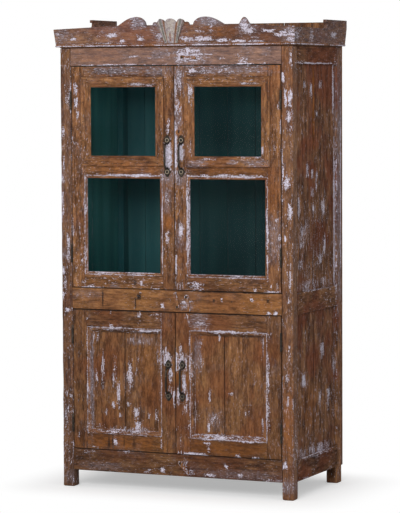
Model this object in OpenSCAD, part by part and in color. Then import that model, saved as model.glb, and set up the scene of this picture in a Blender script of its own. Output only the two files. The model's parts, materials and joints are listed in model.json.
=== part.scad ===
// Rustic two-part display cabinet: glazed doors above, panelled doors below, carved crest
// The front faces -Y, +Z is up, and the origin is on the floor under the middle of the whole cabinet

/* [Case] */
// Width of the case over its posts
case_w = 1036; // [900:1:1200]
// Depth of the case from the post faces to the back of the planks
case_d = 556; // [460:1:680]
// Height of the posts, from the floor to the underside of the top board
case_h = 1824; // [1740:1:1950]
// Width of a post, seen from the front
post_w = 49; // [44:1:60]
// Depth of a post, seen from the side
post_d = 50; // [44:1:60]
// Size of the worn chamfer round the bottom of a post
foot_chamfer = 5; // [2:1:10]

/* [Rails] */
// Clear height under the base rails
foot_h = 71; // [50:1:100]
// Height of a base rail
base_rail_h = 90; // [70:1:110]
// Height of the underside of the mid rails above the floor
mid_rail_z = 746; // [700:1:800]
// Height of a mid rail
mid_rail_h = 88; // [80:1:100]
// Height of a top rail
top_rail_h = 73; // [60:1:90]
// Thickness of the front rails
front_rail_t = 25; // [23:1:30]
// Thickness of the side rails
side_rail_t = 26; // [24:1:30]
// Thickness of the rear rails
rear_rail_t = 22; // [18:1:30]
// How far a door stop shows past the edge of its rail
stop_show = 8; // [5:1:10]
// Height of a door stop planted behind a rail
stop_h = 20; // [14:1:24]
// Thickness of the door stops
stop_t = 12; // [8:1:16]
// Length of a rail's tenon
tenon_l = 24; // [16:1:24]
// Thickness of a rail's tenon
tenon_t = 9; // [7:1:10]
// Shoulder above and below a tenon
tenon_shoulder = 12; // [10:1:16]

/* [Side panels and back] */
// Thickness of a side panel board
side_panel_t = 14; // [10:1:15]
// Depth of a side panel behind the faces of the side rails
side_panel_recess = 9; // [6:1:10]
// Share of a side panel taken by its front board, in percent
side_board_share = 44; // [35:1:65]
// Depth of the grooves that hold the panels
groove_d = 7; // [5:1:8]
// Gap between the boards of a panel
board_gap = 1.5; // [0.8:0.1:2]
// Number of back planks
plank_n = 8; // [6:1:10]
// Thickness of the back planks
plank_t = 14; // [10:1:20]
// Height of the back planks above the case
plank_rise = 105; // [90:1:120]
// Gap between the back planks
plank_gap = 2; // [1:0.5:4]
// Width of the slit where one back plank has shrunk
plank_slit = 6; // [3:0.5:8]

/* [Inside boards] */
// Thickness of the top board
top_board_t = 18; // [14:1:24]
// Thickness of the two floors and two shelves
shelf_t = 18; // [14:1:24]
// Height of the top of the upper shelf above the floor
upper_shelf_z = 1336; // [1310:1:1350]
// Height of the top of the lower shelf above the floor
lower_shelf_z = 450; // [380:1:520]
// Distance of a shelf behind the front posts
shelf_setback = 8; // [4:1:40]
// Side of a square shelf cleat
cleat_w = 20; // [15:1:25]

/* [Cornice] */
// Thickness of the cornice boards, and their overhang at the foot
cornice_foot = 13; // [10:1:18]
// Overhang of the cornice boards at the height of the corner
cornice_lean = 20; // [18:1:26]
// Height of the shadow line under the cornice
cornice_gap = 4; // [2:0.5:6]
// Height of the bead under the cornice boards
bead_h = 11; // [9:1:12]
// Height of the bead's half-round nose
bead_nose_h = 7; // [5:0.5:8]
// How far the bead stands out beyond the foot of the boards
bead_proud = 1.5; // [1:0.5:3]
// Height of the crest at the corners, above the case
crest_corner_h = 77; // [70:1:84]
// Height of the crest between its scrolls, above the case
crest_flat_h = 88; // [85:1:95]
// Length over which the crest rises from a corner
crest_run = 285; // [240:1:290]
// Offset of the carved middle of the crest from the middle of the case
carving_shift = -4.5; // [-12:0.5:6]
// Height of the left scroll above the crest between the scrolls
left_scroll_h = 35; // [25:1:40]
// Height of the right scroll above the crest between the scrolls
right_scroll_h = 32; // [25:1:38]
// Distance of a scroll's top from the middle of the carving
scroll_x = 153; // [145:1:175]
// Width of the left scroll's steep side, towards the shell
scroll_in_left = 42; // [35:1:50]
// Width of the right scroll's steep side, towards the shell
scroll_in_right = 53; // [40:1:60]
// Width of the left scroll's long side
scroll_out_left = 84; // [75:1:105]
// Width of the right scroll's long side
scroll_out_right = 84; // [75:1:105]
// Height of the small peak that is left on the right
peak_h = 30; // [20:1:34]
// Distance of the small peak from the middle of the case
peak_x = 319; // [312:1:340]
// Half the width of the small peak
peak_r = 30; // [26:1:34]
// Height of the side boards above the case
gallery_h = 74; // [68:1:80]
// Height of the left side board's raised rear block above the case
left_block_h = 124; // [105:1:130]
// Height of the right side board's raised rear block above the case
right_block_h = 110; // [105:1:130]
// Distance of the raised blocks from the front of the case
block_y = 318; // [270:1:340]
// Height of the lip at the front of a raised block
block_lip_h = 12; // [8:1:14]
// How far that lip stands out over the hollow under it
block_lip = 18; // [10:1:22]

/* [Carved shell] */
// Width of the shell at its foot
shell_foot_w = 57; // [45:1:65]
// Width of the shell at its lobes
shell_top_w = 122; // [105:1:130]
// Height of the shell
shell_h = 100; // [92:1:104]
// Greatest thickness of the shell
shell_t = 11; // [8:1:12]
// Half-width of the middle lobe, as a percentage of the shell's half-width
shell_mid_share = 43; // [38:1:48]
// Radius of the small knobs beside the shell
knob_r = 10; // [8:0.5:12]

/* [Doors] */
// Gap round the doors and between them
door_gap = 2.6; // [2.2:0.1:3]
// Clearance behind a closed door
door_back_gap = 0.6; // [0.4:0.1:1]
// Length of a door rail's tenon
door_tenon_l = 34; // [25:1:40]
// Thickness of a door rail's tenon
door_tenon_t = 8; // [6:1:8]

/* [Upper doors] */
// Width of an upper door's hinge stile
hinge_stile_w = 57; // [52:1:64]
// Width of an upper door's meeting stile
meet_stile_w = 54; // [50:1:60]
// Height of an upper door's bottom rail
glazed_bottom_h = 54; // [45:1:70]
// Distance from a door's edges to the nailed frame round its upper pane
pane_frame_inset = 44; // [43:1:48]
// Width of the nailed frame's strips
pane_frame_w = 42; // [36:1:48]
// Thickness of the nailed frame in front of the door
pane_frame_proud = 6; // [4:1:7]
// Flat part of a nailed frame's strip, outside its bevel
pane_frame_flat = 24; // [20:1:28]
// Visible height of the upper pane
upper_pane_h = 281; // [250:1:300]
// Visible height of the rail between the panes
cross_face = 39; // [34:1:50]
// Width of the glazing beads
glazing_bead_w = 12; // [8:1:14]
// Thickness of the glass
glass_t = 3; // [2:0.5:4]
// Depth of the glass behind the face of the door
glass_y = 7; // [6:0.5:9]
// Side of the square stops behind the glass
glass_stop = 7; // [5:0.5:9]

/* [Lower doors] */
// Width of a lower door's stiles
lower_stile_w = 63; // [55:1:70]
// Height of a lower door's top rail
lower_top_h = 71; // [60:1:80]
// Height of a lower door's bottom rail
lower_bottom_h = 66; // [60:1:80]
// Thickness of a lower door's panel boards
panel_t = 9; // [7:1:10]
// Depth of the panel behind the face of the door
panel_y = 11; // [9:1:12]
// Width of the outer board of the left door's panel
left_outer_board = 176; // [120:1:230]
// Width of the outer board of the right door's panel
right_outer_board = 196; // [120:1:230]
// Width of the moulding round the panel
moulding_w = 20; // [16:1:26]

/* [Handles] */
// Distance between the centres of a handle's two end plates
handle_span = 129; // [110:1:140]
// Distance of a handle from the door's meeting edge
handle_inset = 30; // [28:1:30]
// Height of the middle of the upper handles above the floor
upper_handle_z = 1382; // [1300:1:1450]
// Height of the middle of the lower handles above the floor
lower_handle_z = 464; // [420:1:560]
// Distance from the middle of an end plate to its top
plate_top = 20.5; // [17:0.5:22]
// Radius of the top leaf of an end plate
leaf_r = 6.5; // [5:0.1:6.6]
// Distance from the middle of an end plate to the root of the bow
bow_root = 14; // [12:0.5:16]
// Thickness of the end plates
plate_t = 3.5; // [2.5:0.5:5]
// Radius of the bow
bow_r = 4.2; // [3.5:0.1:5]
// Distance from the door to the middle of the bow
bow_stand = 28; // [24:1:34]
// Radius of the bends at the ends of the bow
bow_bend_r = 18; // [14:1:20]

/* [Hinges] */
// Length of a butt hinge
hinge_l = 75; // [65:1:90]
// Width of a hinge leaf
hinge_leaf_w = 19; // [15:1:20]
// Thickness of a hinge leaf
hinge_leaf_t = 1.8; // [1.5:0.1:2.2]
// Outer radius of the knuckles
knuckle_r = 4.5; // [4:0.1:5]
// Radius of the hinge pin
pin_r = 2; // [1.5:0.1:2.5]
// Distance from an upper door's ends to the middle of its hinges
upper_hinge_in = 140; // [90:1:180]
// Distance from a lower door's ends to the middle of its hinges
lower_hinge_in = 105; // [80:1:140]

/* [Turn buttons] */
// Distance from a button's pivot to its tip
button_l = 61; // [50:1:62]
// Thickness of a button
button_t = 8; // [6:1:10]
// Radius of a button's pivot end
button_r = 9; // [8:0.5:10]
// Radius of a button's tip
button_tip_r = 5.5; // [4.5:0.5:7]
// Radius of a button's screw
screw_r = 2.2; // [1.8:0.1:2.5]

/* [Clearances] */
// Radial running clearance of pins and screws
run_clear = 0.06; // [0.03:0.01:0.09]
// Clearance of tenons, tongues and panes in their seats
seat_clear = 0.2; // [0.1:0.05:0.4]
// Gap between a turning button and what it passes over
slide_clear = 0.4; // [0.3:0.1:0.8]

/* [Hidden] */
$fn = 48;

wood = "peru";
worn_wood = "burlywood";
dark_wood = "saddlebrown";
teal = "darkslategray";
pale_paint = "lavender";
iron = "dimgray";

// Bites that cut a little past a face
eps = 0.5;
LEFT = -1;
RIGHT = 1;

// Reaches and the case's place on the floor
handle_reach = bow_stand + bow_r;
shell_reach = cornice_lean + shell_t;
front_reach = max(handle_reach, shell_reach);
front_y = -(case_d - front_reach) / 2;
half_w = case_w / 2;
door_t = front_rail_t - door_back_gap;
plank_y = case_d - plank_t;
rear_post_y = plank_y - post_d;

// Levels of the rails and the door openings
base_top_z = foot_h + base_rail_h;
mid_top_z = mid_rail_z + mid_rail_h;
top_rail_z = case_h - top_rail_h;
open_half = half_w - post_w;
door_w = (2 * open_half - 3 * door_gap) / 2;
upper_door_z = mid_top_z + door_gap;
upper_door_top = top_rail_z - door_gap;
lower_door_z = base_top_z + door_gap;
lower_door_top = mid_rail_z - door_gap;

// Levels inside an upper door
pane_frame_top = upper_door_top - pane_frame_inset;
upper_pane_top = pane_frame_top - pane_frame_w;
pane_frame_z = upper_pane_top - upper_pane_h - pane_frame_w;
pane_lap = min(hinge_stile_w, meet_stile_w) - pane_frame_inset;
pane_step = max(hinge_stile_w, meet_stile_w) - pane_frame_inset + seat_clear;
cross_z = pane_frame_z - cross_face;
glazed_rail_z = upper_door_z + glazed_bottom_h;
stop_y = glass_y + glass_t;

// Side panels
panel_out = half_w - side_panel_recess;
panel_in = panel_out - side_panel_t;
side_bay = rear_post_y - post_d;

// Hinges
hinge_y = -(knuckle_r + 0.5);
knuckle_n = 5;
knuckle_gap = 0.4;
leaf_gap = 0.2;
knuckle_l = (hinge_l - (knuckle_n - 1) * knuckle_gap) / knuckle_n;
knuckle_pitch = knuckle_l + knuckle_gap;
leaf_bite = hinge_leaf_t + leaf_gap - door_gap / 2;
pin_head_h = 2;

// Turn buttons: place on the rail, and the way each points at rest (degrees from straight up, clockwise)
button_top_at = [39, top_rail_z + 30];
button_mid_upper_at = [53, mid_top_z - 25];
button_mid_lower_at = [12, mid_rail_z + 21];
button_base_at = [22, base_top_z - 35];
button_top_rest = 92;
button_mid_upper_rest = 169;
button_mid_lower_rest = -10;
button_base_rest = 138;
screw_head_r = 4.8;
screw_head_t = 1.8;

// Overhang of the leaning cornice face at a height above the case
bead_top = cornice_gap + bead_h;
cornice_slope = (cornice_lean - cornice_foot) / (crest_corner_h - bead_top);
cornice_tilt = atan(cornice_slope);
function cornice_at(h) = cornice_foot + cornice_slope * (h - bead_top);
cornice_x = half_w + cornice_lean;

// Box from one corner to the other
module span(a, b) {
  translate(a) cube(b - a);
}

// Everything inside is drawn with the case's front face at y = 0
module in_case() {
  translate([0, front_y, 0]) children();
}

// Draws its children once, on the left or mirrored to the right
module on_side(side) {
  if (side == LEFT) children();
  else mirror([1, 0, 0]) children();
}

// A board along x between two faces, with a tenon at each end
module tenoned_rail(x0, x1, y0, t, z0, h, tl, tt) {
  tenon_y = y0 + (t - tt) / 2;
  span([x0, y0, z0], [x1, y0 + t, z0 + h]);
  span([x0 - tl, tenon_y, z0 + tenon_shoulder], [x1 + tl, tenon_y + tt, z0 + h - tenon_shoulder]);
}

// The mortises that take those tenons, with clearance all round
module mortises(x0, x1, y0, t, z0, h, tl, tt) {
  tenon_y = y0 + (t - tt) / 2;
  c = seat_clear;
  for (x = [x0 - tl - c, x1 - eps])
    span([x, tenon_y - c, z0 + tenon_shoulder - c],
         [x + tl + c + eps, tenon_y + tt + c, z0 + h - tenon_shoulder + c]);
}

// Levels of the three rows of rails
module at_rail_levels() {
  for (level = [[foot_h, base_rail_h], [mid_rail_z, mid_rail_h], [top_rail_z, top_rail_h]]) {
    $rail_z = level[0];
    $rail_h = level[1];
    children();
  }
}

// Levels of the two side panels: bottom and top of the clear height between the rails
function panel_z(upper) = upper ? mid_top_z : base_top_z;
function panel_top(upper) = upper ? top_rail_z : mid_rail_z;

// Posts

module post_blank(y0) {
  c = foot_chamfer;
  module outline(w) {
    polygon([[c, 0], [w - c, 0], [w, c], [w, case_h], [0, case_h], [0, c]]);
  }
  translate([-half_w, y0, 0])
    intersection() {
      translate([0, post_d, 0]) rotate([90, 0, 0]) linear_extrude(post_d) outline(post_w);
      rotate([90, 0, 90]) linear_extrude(post_w) outline(post_d);
    }
}

// Side rail tenons run along y, so the x-rail helpers are turned a quarter
module side_turned() {
  translate([-half_w, 0, 0]) mirror([0, 1, 0]) rotate([0, 0, -90]) children();
}

module side_mortises() {
  side_turned()
    at_rail_levels()
      mortises(post_d, rear_post_y, 0, side_rail_t, $rail_z, $rail_h, tenon_l, tenon_t);
}

module side_panel_grooves() {
  c = seat_clear;
  for (upper = [false, true])
    span([-panel_out - c, post_d - groove_d - c, panel_z(upper) - groove_d - c],
         [-panel_in + c, rear_post_y + groove_d + c, panel_top(upper) + groove_d + c]);
}

module front_post(side) {
  color(wood)
    in_case() on_side(side)
      difference() {
        post_blank(0);
        at_rail_levels()
          mortises(-open_half, open_half, 0, front_rail_t, $rail_z, $rail_h, tenon_l, tenon_t);
        side_mortises();
        side_panel_grooves();
        hinge_mortises();
      }
}

module rear_post(side) {
  color(wood)
    in_case() on_side(side)
      difference() {
        post_blank(rear_post_y);
        at_rail_levels()
          mortises(-open_half, open_half, plank_y - rear_rail_t, rear_rail_t, $rail_z, $rail_h,
                   tenon_l, tenon_t);
        side_mortises();
        side_panel_grooves();
      }
}

// Rails

module front_rail(z0, h) {
  tenoned_rail(-open_half, open_half, 0, front_rail_t, z0, h, tenon_l, tenon_t);
}

module button_pilot(at) {
  translate([at[0], -eps, at[1]]) rotate([-90, 0, 0]) cylinder(h = front_rail_t / 2 + eps, r = screw_r);
}

module front_top_rail() {
  color(wood)
    in_case()
      difference() {
        front_rail(top_rail_z, top_rail_h);
        button_pilot(button_top_at);
      }
}

module front_mid_rail() {
  color(wood)
    in_case()
      difference() {
        front_rail(mid_rail_z, mid_rail_h);
        button_pilot(button_mid_upper_at);
        button_pilot(button_mid_lower_at);
      }
}

module front_base_rail() {
  color(dark_wood)
    in_case()
      difference() {
        front_rail(foot_h, base_rail_h);
        button_pilot(button_base_at);
      }
}

// Strips that the doors close against: two on the floors and two behind the rails over the doors
module door_stops() {
  color(dark_wood)
    in_case() {
      for (z = [base_top_z, mid_top_z])
        span([-open_half, front_rail_t, z], [open_half, front_rail_t + stop_t, z + stop_show]);
      for (z = [mid_rail_z, top_rail_z])
        span([-open_half, front_rail_t, z - stop_show],
             [open_half, front_rail_t + stop_t, z - stop_show + stop_h]);
    }
}

module side_rails(side) {
  color(wood)
    in_case() on_side(side)
      difference() {
        side_turned()
          at_rail_levels()
            tenoned_rail(post_d, rear_post_y, 0, side_rail_t, $rail_z, $rail_h, tenon_l, tenon_t);
        side_panel_grooves_clear();
      }
}

// Only the part of each groove between the posts, so the tenons stay whole
module side_panel_grooves_clear() {
  intersection() {
    side_panel_grooves();
    span([-half_w - eps, post_d, 0], [0, rear_post_y, case_h]);
  }
}

module rear_rails() {
  color(dark_wood)
    in_case()
      at_rail_levels()
        tenoned_rail(-open_half, open_half, plank_y - rear_rail_t, rear_rail_t, $rail_z, $rail_h,
                     tenon_l, tenon_t);
}

// Side panels and back

module side_panel(side, upper) {
  z0 = panel_z(upper) - groove_d;
  z1 = panel_top(upper) + groove_d;
  split = post_d + side_bay * side_board_share / 100;
  color(wood)
    in_case() on_side(side)
      for (y = [[post_d - groove_d, split - board_gap / 2], [split + board_gap / 2, rear_post_y + groove_d]])
        span([-panel_out, y[0], z0], [-panel_in, y[1], z1]);
}

// The plank second from the right has shrunk, which leaves the slit
module back_planks() {
  pitch = case_w / plank_n;
  slit_plank = plank_n - 2;
  color(dark_wood)
    in_case()
      for (i = [0 : plank_n - 1]) {
        left_gap = i == 0 ? 0 : i == slit_plank ? plank_slit - plank_gap / 2 : plank_gap / 2;
        right_gap = i == plank_n - 1 ? 0 : plank_gap / 2;
        span([-half_w + i * pitch + left_gap, plank_y, foot_h],
             [-half_w + (i + 1) * pitch - right_gap, case_d, case_h + plank_rise]);
      }
}

// Inside boards

module top_board() {
  color(dark_wood)
    in_case() span([-half_w, 0, case_h], [half_w, plank_y, case_h + top_board_t]);
}

// A floor behind a front rail, notched round the four posts and the rear rail
module floor_board(top_z) {
  notch = board_gap / 2;
  x1 = half_w - side_rail_t;
  color(teal)
    in_case()
      difference() {
        span([-x1, front_rail_t, top_z - shelf_t], [x1, plank_y - rear_rail_t, top_z]);
        for (side = [LEFT, RIGHT], y = [0, rear_post_y])
          on_side(side)
            span([-half_w, y - notch, 0], [-open_half + notch, y + post_d + notch, case_h]);
      }
}

// A loose shelf on cleats, notched round the rear posts
module shelf(top_z) {
  clear = board_gap;
  color(teal)
    in_case()
      difference() {
        span([-panel_in + clear, post_d + shelf_setback, top_z - shelf_t],
             [panel_in - clear, plank_y - clear, top_z]);
        for (side = [LEFT, RIGHT])
          on_side(side)
            span([-half_w, rear_post_y - clear, 0], [-open_half + clear, case_d, case_h]);
      }
}

module shelf_cleats() {
  color(dark_wood)
    in_case()
      for (side = [LEFT, RIGHT], top_z = [upper_shelf_z, lower_shelf_z])
        on_side(side)
          span([-panel_in, post_d, top_z - shelf_t - cleat_w],
               [-panel_in + cleat_w, rear_post_y, top_z - shelf_t]);
}

// Cornice

// Height of the crest above the case: a slope from each corner, two scrolls and one small peak
function crest_slope(x) =
  crest_corner_h + (crest_flat_h - crest_corner_h) * min(1, (cornice_x - abs(x)) / crest_run);
function scroll(d, top, in, out) =
  d < 0 ? (d > -in ? top * sqrt(1 - pow(d / in, 2)) : 0)
        : (d < out ? top * cos(90 * d / out) : 0);
function scrolls(x) =
  x < 0 ? scroll(-x - scroll_x, left_scroll_h, scroll_in_left, scroll_out_left)
        : scroll(x - scroll_x, right_scroll_h, scroll_in_right, scroll_out_right);
function peak(x) = abs(x - peak_x) < peak_r ? peak_h * pow(cos(90 * (x - peak_x) / peak_r), 2) : 0;

// Rounds behind the shell's lobes and the two small knobs beside it
mid_lobe_r = shell_top_w / 2 * shell_mid_share / 100;
side_lobe_r = (shell_top_w / 2 - mid_lobe_r) / 2;
shell_top_h = bead_top + shell_h;
function round_top(x, at, r) = abs(x - at[0]) < r ? at[1] + sqrt(r * r - pow(x - at[0], 2)) : 0;
function shell_backing(x) =
  max(round_top(x, [0, shell_top_h - mid_lobe_r - 1], mid_lobe_r - 1),
      round_top(abs(x), [mid_lobe_r + side_lobe_r, shell_top_h - side_lobe_r - 2], side_lobe_r - 1),
      round_top(abs(x), [shell_top_w / 2 + knob_r * 0.9, crest_flat_h + knob_r * 0.3], knob_r));
function crest_top(x) =
  max(crest_slope(x) + max(scrolls(x - carving_shift), peak(x)), shell_backing(x - carving_shift));
crest_step = 2.5;

module crest_outline() {
  curved = [for (x = [-cornice_x + crest_run : crest_step : peak_x + peak_r]) [x, crest_top(x)]];
  polygon(concat([[-cornice_x - eps, 0]], [[-cornice_x - eps, crest_corner_h]], curved,
                 [[cornice_x + eps, crest_corner_h]], [[cornice_x + eps, 0]]));
}

// Section of a leaning cornice board, up to a height above the case
module cornice_section(h) {
  polygon([
    [0, bead_top], [cornice_foot - cornice_at(h), h],
    [-cornice_at(h), h], [-cornice_foot, bead_top]
  ]);
}

// Section of a side board, which stands upright above the corner's height
module gallery_section(h) {
  cornice_section(crest_corner_h);
  translate([-cornice_lean, crest_corner_h]) square([cornice_foot, h - crest_corner_h]);
}

// Section of the bead: a half-round nose with a plain strip above it
module bead_section() {
  nose = bead_nose_h / 2;
  reach = cornice_foot + bead_proud;
  translate([-cornice_foot, cornice_gap]) square([cornice_foot, bead_h]);
  translate([-reach + nose, cornice_gap]) square([reach - nose, bead_nose_h]);
  translate([-reach + nose, cornice_gap + nose]) circle(nose);
}

// Everything in front of the mitre planes at the two front corners
module mitre_front() {
  big = case_w;
  c = seat_clear / 2;
  linear_extrude(2 * case_h)
    polygon([[-half_w + c, 0], [-half_w - big + c, -big], [half_w + big - c, -big], [half_w - c, 0]]);
}

module front_moulding(h) {
  intersection() {
    translate([-cornice_x - eps, 0, case_h])
      rotate([90, 0, 90]) linear_extrude(2 * (cornice_x + eps)) children();
    mitre_front();
  }
}

module side_moulding() {
  big = case_w;
  c = seat_clear / 2;
  intersection() {
    translate([-half_w, case_d, case_h]) rotate([90, 0, 0]) linear_extrude(case_d + cornice_x) children();
    linear_extrude(2 * case_h)
      polygon([[-half_w - big, case_d], [-half_w - big, -big + c], [-half_w, c], [-half_w, case_d]]);
  }
}

module crest_board() {
  color(worn_wood)
    in_case()
      intersection() {
        front_moulding() cornice_section(bead_top + crest_flat_h + shell_h);
        translate([0, eps, case_h]) rotate([90, 0, 0]) linear_extrude(post_d) crest_outline();
      }
}

// Side view of a side board: low in front, a raised block behind with a lip over a cove
module gallery_outline(block_h) {
  lip_z = block_h - block_lip_h;
  cove_r = lip_z - gallery_h;
  difference() {
    union() {
      translate([-cornice_x, 0]) square([case_d + cornice_x, gallery_h]);
      translate([block_y, 0]) square([case_d - block_y, block_h]);
    }
    intersection() {
      translate([block_y + block_lip - cove_r, lip_z]) circle(cove_r);
      translate([block_y - cove_r, gallery_h]) square([2 * cove_r, cove_r]);
    }
  }
}

module gallery_board(side, block_h) {
  color(worn_wood)
    in_case() on_side(side)
      intersection() {
        side_moulding() gallery_section(block_h);
        translate([-cornice_x, 0, case_h])
          rotate([90, 0, 90]) linear_extrude(cornice_x) gallery_outline(block_h);
      }
}

module cornice_bead() {
  color(pale_paint)
    in_case() {
      front_moulding() bead_section();
      for (side = [LEFT, RIGHT])
        on_side(side) side_moulding() bead_section();
    }
}

// The shell is a relief on a grid: u runs across it from -1 to 1 and v up it from 0 to 1
shell_nu = 44;
shell_nv = 13;
shell_mid = shell_mid_share / 100;

function in_mid(u) = abs(u) <= shell_mid;
// Place across a lobe, from -1 to 1
function lobe_u(u) = in_mid(u) ? u / shell_mid : (2 * abs(u) - shell_mid - 1) / (1 - shell_mid);
function shell_half_w(v) = shell_foot_w / 2 + (shell_top_w - shell_foot_w) / 2 * pow(v, 1.25);
// The lobes' round tops
function shell_top(u) = shell_h - (in_mid(u) ? 16 : 19) * pow(abs(lobe_u(u)), 2.6) - (in_mid(u) ? 0 : 1);
// Thickness: the middle lobe swells, the side lobes are dished between two ribs
function shell_relief(u, v) =
  let (q = lobe_u(u),
       swell = in_mid(u) ? 0.35 + 0.65 * sqrt(max(0, 1 - q * q)) : 0.3 + 0.5 * pow(abs(q), 3),
       rise = 0.55 + 0.45 * sin(150 * v),
       round_off = sqrt(max(0.05, 1 - pow(v, 8))))
  shell_t * swell * rise * round_off;
function shell_point(i, j, back) =
  let (u = 2 * i / shell_nu - 1, v = j / shell_nv)
  [u * shell_half_w(v), back ? 0 : -shell_relief(u, v), v * shell_top(u)];

module shell_relief_solid() {
  n = shell_nu + 1;
  m = shell_nv + 1;
  points = [for (back = [false, true], j = [0 : shell_nv], i = [0 : shell_nu]) shell_point(i, j, back)];
  function at(i, j, back) = (back ? n * m : 0) + j * n + i;
  skin = [
    for (j = [0 : shell_nv - 1], i = [0 : shell_nu - 1], back = [false, true])
      let (a = at(i, j, back), b = at(i + 1, j, back), c = at(i + 1, j + 1, back), d = at(i, j + 1, back))
      each (back ? [[a, b, c], [a, c, d]] : [[a, c, b], [a, d, c]])
  ];
  ends = [
    for (i = [0 : shell_nu - 1], j = [0, shell_nv])
      let (a = at(i, j, false), b = at(i + 1, j, false), c = at(i + 1, j, true), d = at(i, j, true))
      each (j == 0 ? [[a, b, c], [a, c, d]] : [[a, c, b], [a, d, c]])
  ];
  sides = [
    for (j = [0 : shell_nv - 1], i = [0, shell_nu])
      let (a = at(i, j, false), b = at(i, j + 1, false), c = at(i, j + 1, true), d = at(i, j, true))
      each (i == 0 ? [[a, c, b], [a, d, c]] : [[a, b, c], [a, c, d]])
  ];
  polyhedron(points, concat(skin, ends, sides));
}

module crest_shell() {
  color(pale_paint)
    in_case()
      translate([carving_shift, -cornice_foot, case_h + bead_top])
        rotate([cornice_tilt, 0, 0]) shell_relief_solid();
}

// Doors
// A door is drawn in its own frame: x from its hinge edge to its meeting edge, y back from its face

module in_door(side) {
  in_case() on_side(side) translate([-open_half + door_gap, 0, 0]) children();
}

// Four mitred strips round a rectangle; the child is the section, drawn from the outer edge inwards
module mitred_frame(x0, x1, z0, z1, strip_w) {
  c = seat_clear / 2;
  translate([(x0 + x1) / 2, 0, (z0 + z1) / 2])
    for (i = [0 : 3]) {
      along = (i % 2 == 0 ? x1 - x0 : z1 - z0) / 2;
      out = (i % 2 == 0 ? z1 - z0 : x1 - x0) / 2;
      rotate([0, 90 * i, 0])
        intersection() {
          translate([-along, 0, out]) rotate([0, 90, 0]) linear_extrude(2 * along) children();
          rotate([90, 0, 0]) linear_extrude(4 * door_t, center = true)
            polygon([
              [c - along, out], [along - c, out],
              [along - strip_w - c, out - strip_w], [strip_w + c - along, out - strip_w]
            ]);
        }
    }
}

module door_tenon_mortises(x0, x1, z0, h) {
  mortises(x0, x1, 0, door_t, z0, h, door_tenon_l, door_tenon_t);
}

module door_rail(x0, x1, z0, h) {
  tenoned_rail(x0, x1, 0, door_t, z0, h, door_tenon_l, door_tenon_t);
}

// Rails of an upper door: height of the underside and height of each
glazed_rails = [
  [upper_door_z, glazed_bottom_h],
  [cross_z, pane_frame_z + pane_lap - cross_z],
  [pane_frame_top - pane_lap, upper_door_top - pane_frame_top + pane_lap]
];

module upper_stiles(side) {
  color(wood)
    in_door(side)
      difference() {
        for (x = [[0, hinge_stile_w], [door_w - meet_stile_w, door_w]])
          span([x[0], 0, upper_door_z], [x[1], door_t, upper_door_top]);
        for (r = glazed_rails)
          door_tenon_mortises(hinge_stile_w, door_w - meet_stile_w, r[0], r[1]);
        hinge_leaf_seats(upper_hinge_levels);
      }
}

module upper_rails(side) {
  color(worn_wood)
    in_door(side)
      for (r = glazed_rails)
        door_rail(hinge_stile_w, door_w - meet_stile_w, r[0], r[1]);
}

// Flat strip with a bevel down to the glass, stepped behind to sit on the door and in the opening
module pane_frame_section() {
  nib = 2;
  polygon([
    [0, -pane_frame_proud], [pane_frame_flat, -pane_frame_proud],
    [pane_frame_flat + nib, nib - pane_frame_proud], [pane_frame_w, glass_y - nib],
    [pane_frame_w, glass_y], [pane_step, glass_y], [pane_step, 0], [0, 0]
  ]);
}

module upper_pane_frame(side) {
  color(worn_wood)
    in_door(side)
      mitred_frame(pane_frame_inset, door_w - pane_frame_inset, pane_frame_z, pane_frame_top, pane_frame_w)
        pane_frame_section();
}

// Clear openings in the frame of an upper door: bottom and top
upper_opening = [pane_frame_z + pane_lap, pane_frame_top - pane_lap];
lower_opening = [glazed_rail_z, cross_z];

// Square bead with a bevel towards the glass, just behind the face of the door
module glazing_bead_section() {
  back = 1;
  bevel = 3;
  polygon([
    [0, back], [glazing_bead_w - bevel, back], [glazing_bead_w, back + bevel],
    [glazing_bead_w, glass_y], [0, glass_y]
  ]);
}

// A bead in front of the lower pane and square stops behind both panes
module glazing_beads(side) {
  x0 = hinge_stile_w;
  x1 = door_w - meet_stile_w;
  color(pale_paint)
    in_door(side) {
      mitred_frame(x0, x1, lower_opening[0], lower_opening[1], glazing_bead_w)
        glazing_bead_section();
      for (open = [lower_opening, upper_opening])
        mitred_frame(x0, x1, open[0], open[1], glass_stop)
          translate([0, stop_y]) square(glass_stop);
    }
}

module panes(side) {
  c = seat_clear;
  color("darkcyan", 0.35)
    in_door(side)
      for (open = [lower_opening, upper_opening])
        span([hinge_stile_w + c, glass_y, open[0] + c], [door_w - meet_stile_w - c, stop_y, open[1] - c]);
}

// Rails of a lower door, and the opening between them
lower_rails_at = [[lower_door_z, lower_bottom_h], [lower_door_top - lower_top_h, lower_top_h]];
panel_open = [lower_door_z + lower_bottom_h, lower_door_top - lower_top_h];

// The groove that holds the panel, all round the opening
module panel_groove() {
  c = seat_clear;
  g = groove_d + c;
  span([lower_stile_w - g, panel_y - c, panel_open[0] - g],
       [door_w - lower_stile_w + g, panel_y + panel_t + c, panel_open[1] + g]);
}

module lower_stiles(side) {
  color(wood)
    in_door(side)
      difference() {
        for (x = [[0, lower_stile_w], [door_w - lower_stile_w, door_w]])
          span([x[0], 0, lower_door_z], [x[1], door_t, lower_door_top]);
        for (r = lower_rails_at)
          door_tenon_mortises(lower_stile_w, door_w - lower_stile_w, r[0], r[1]);
        panel_groove();
        hinge_leaf_seats(lower_hinge_levels);
      }
}

module lower_rails(side) {
  color(wood)
    in_door(side)
      difference() {
        for (r = lower_rails_at)
          door_rail(lower_stile_w, door_w - lower_stile_w, r[0], r[1]);
        intersection() {
          panel_groove();
          span([lower_stile_w, 0, lower_door_z], [door_w - lower_stile_w, door_t, lower_door_top]);
        }
      }
}

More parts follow.
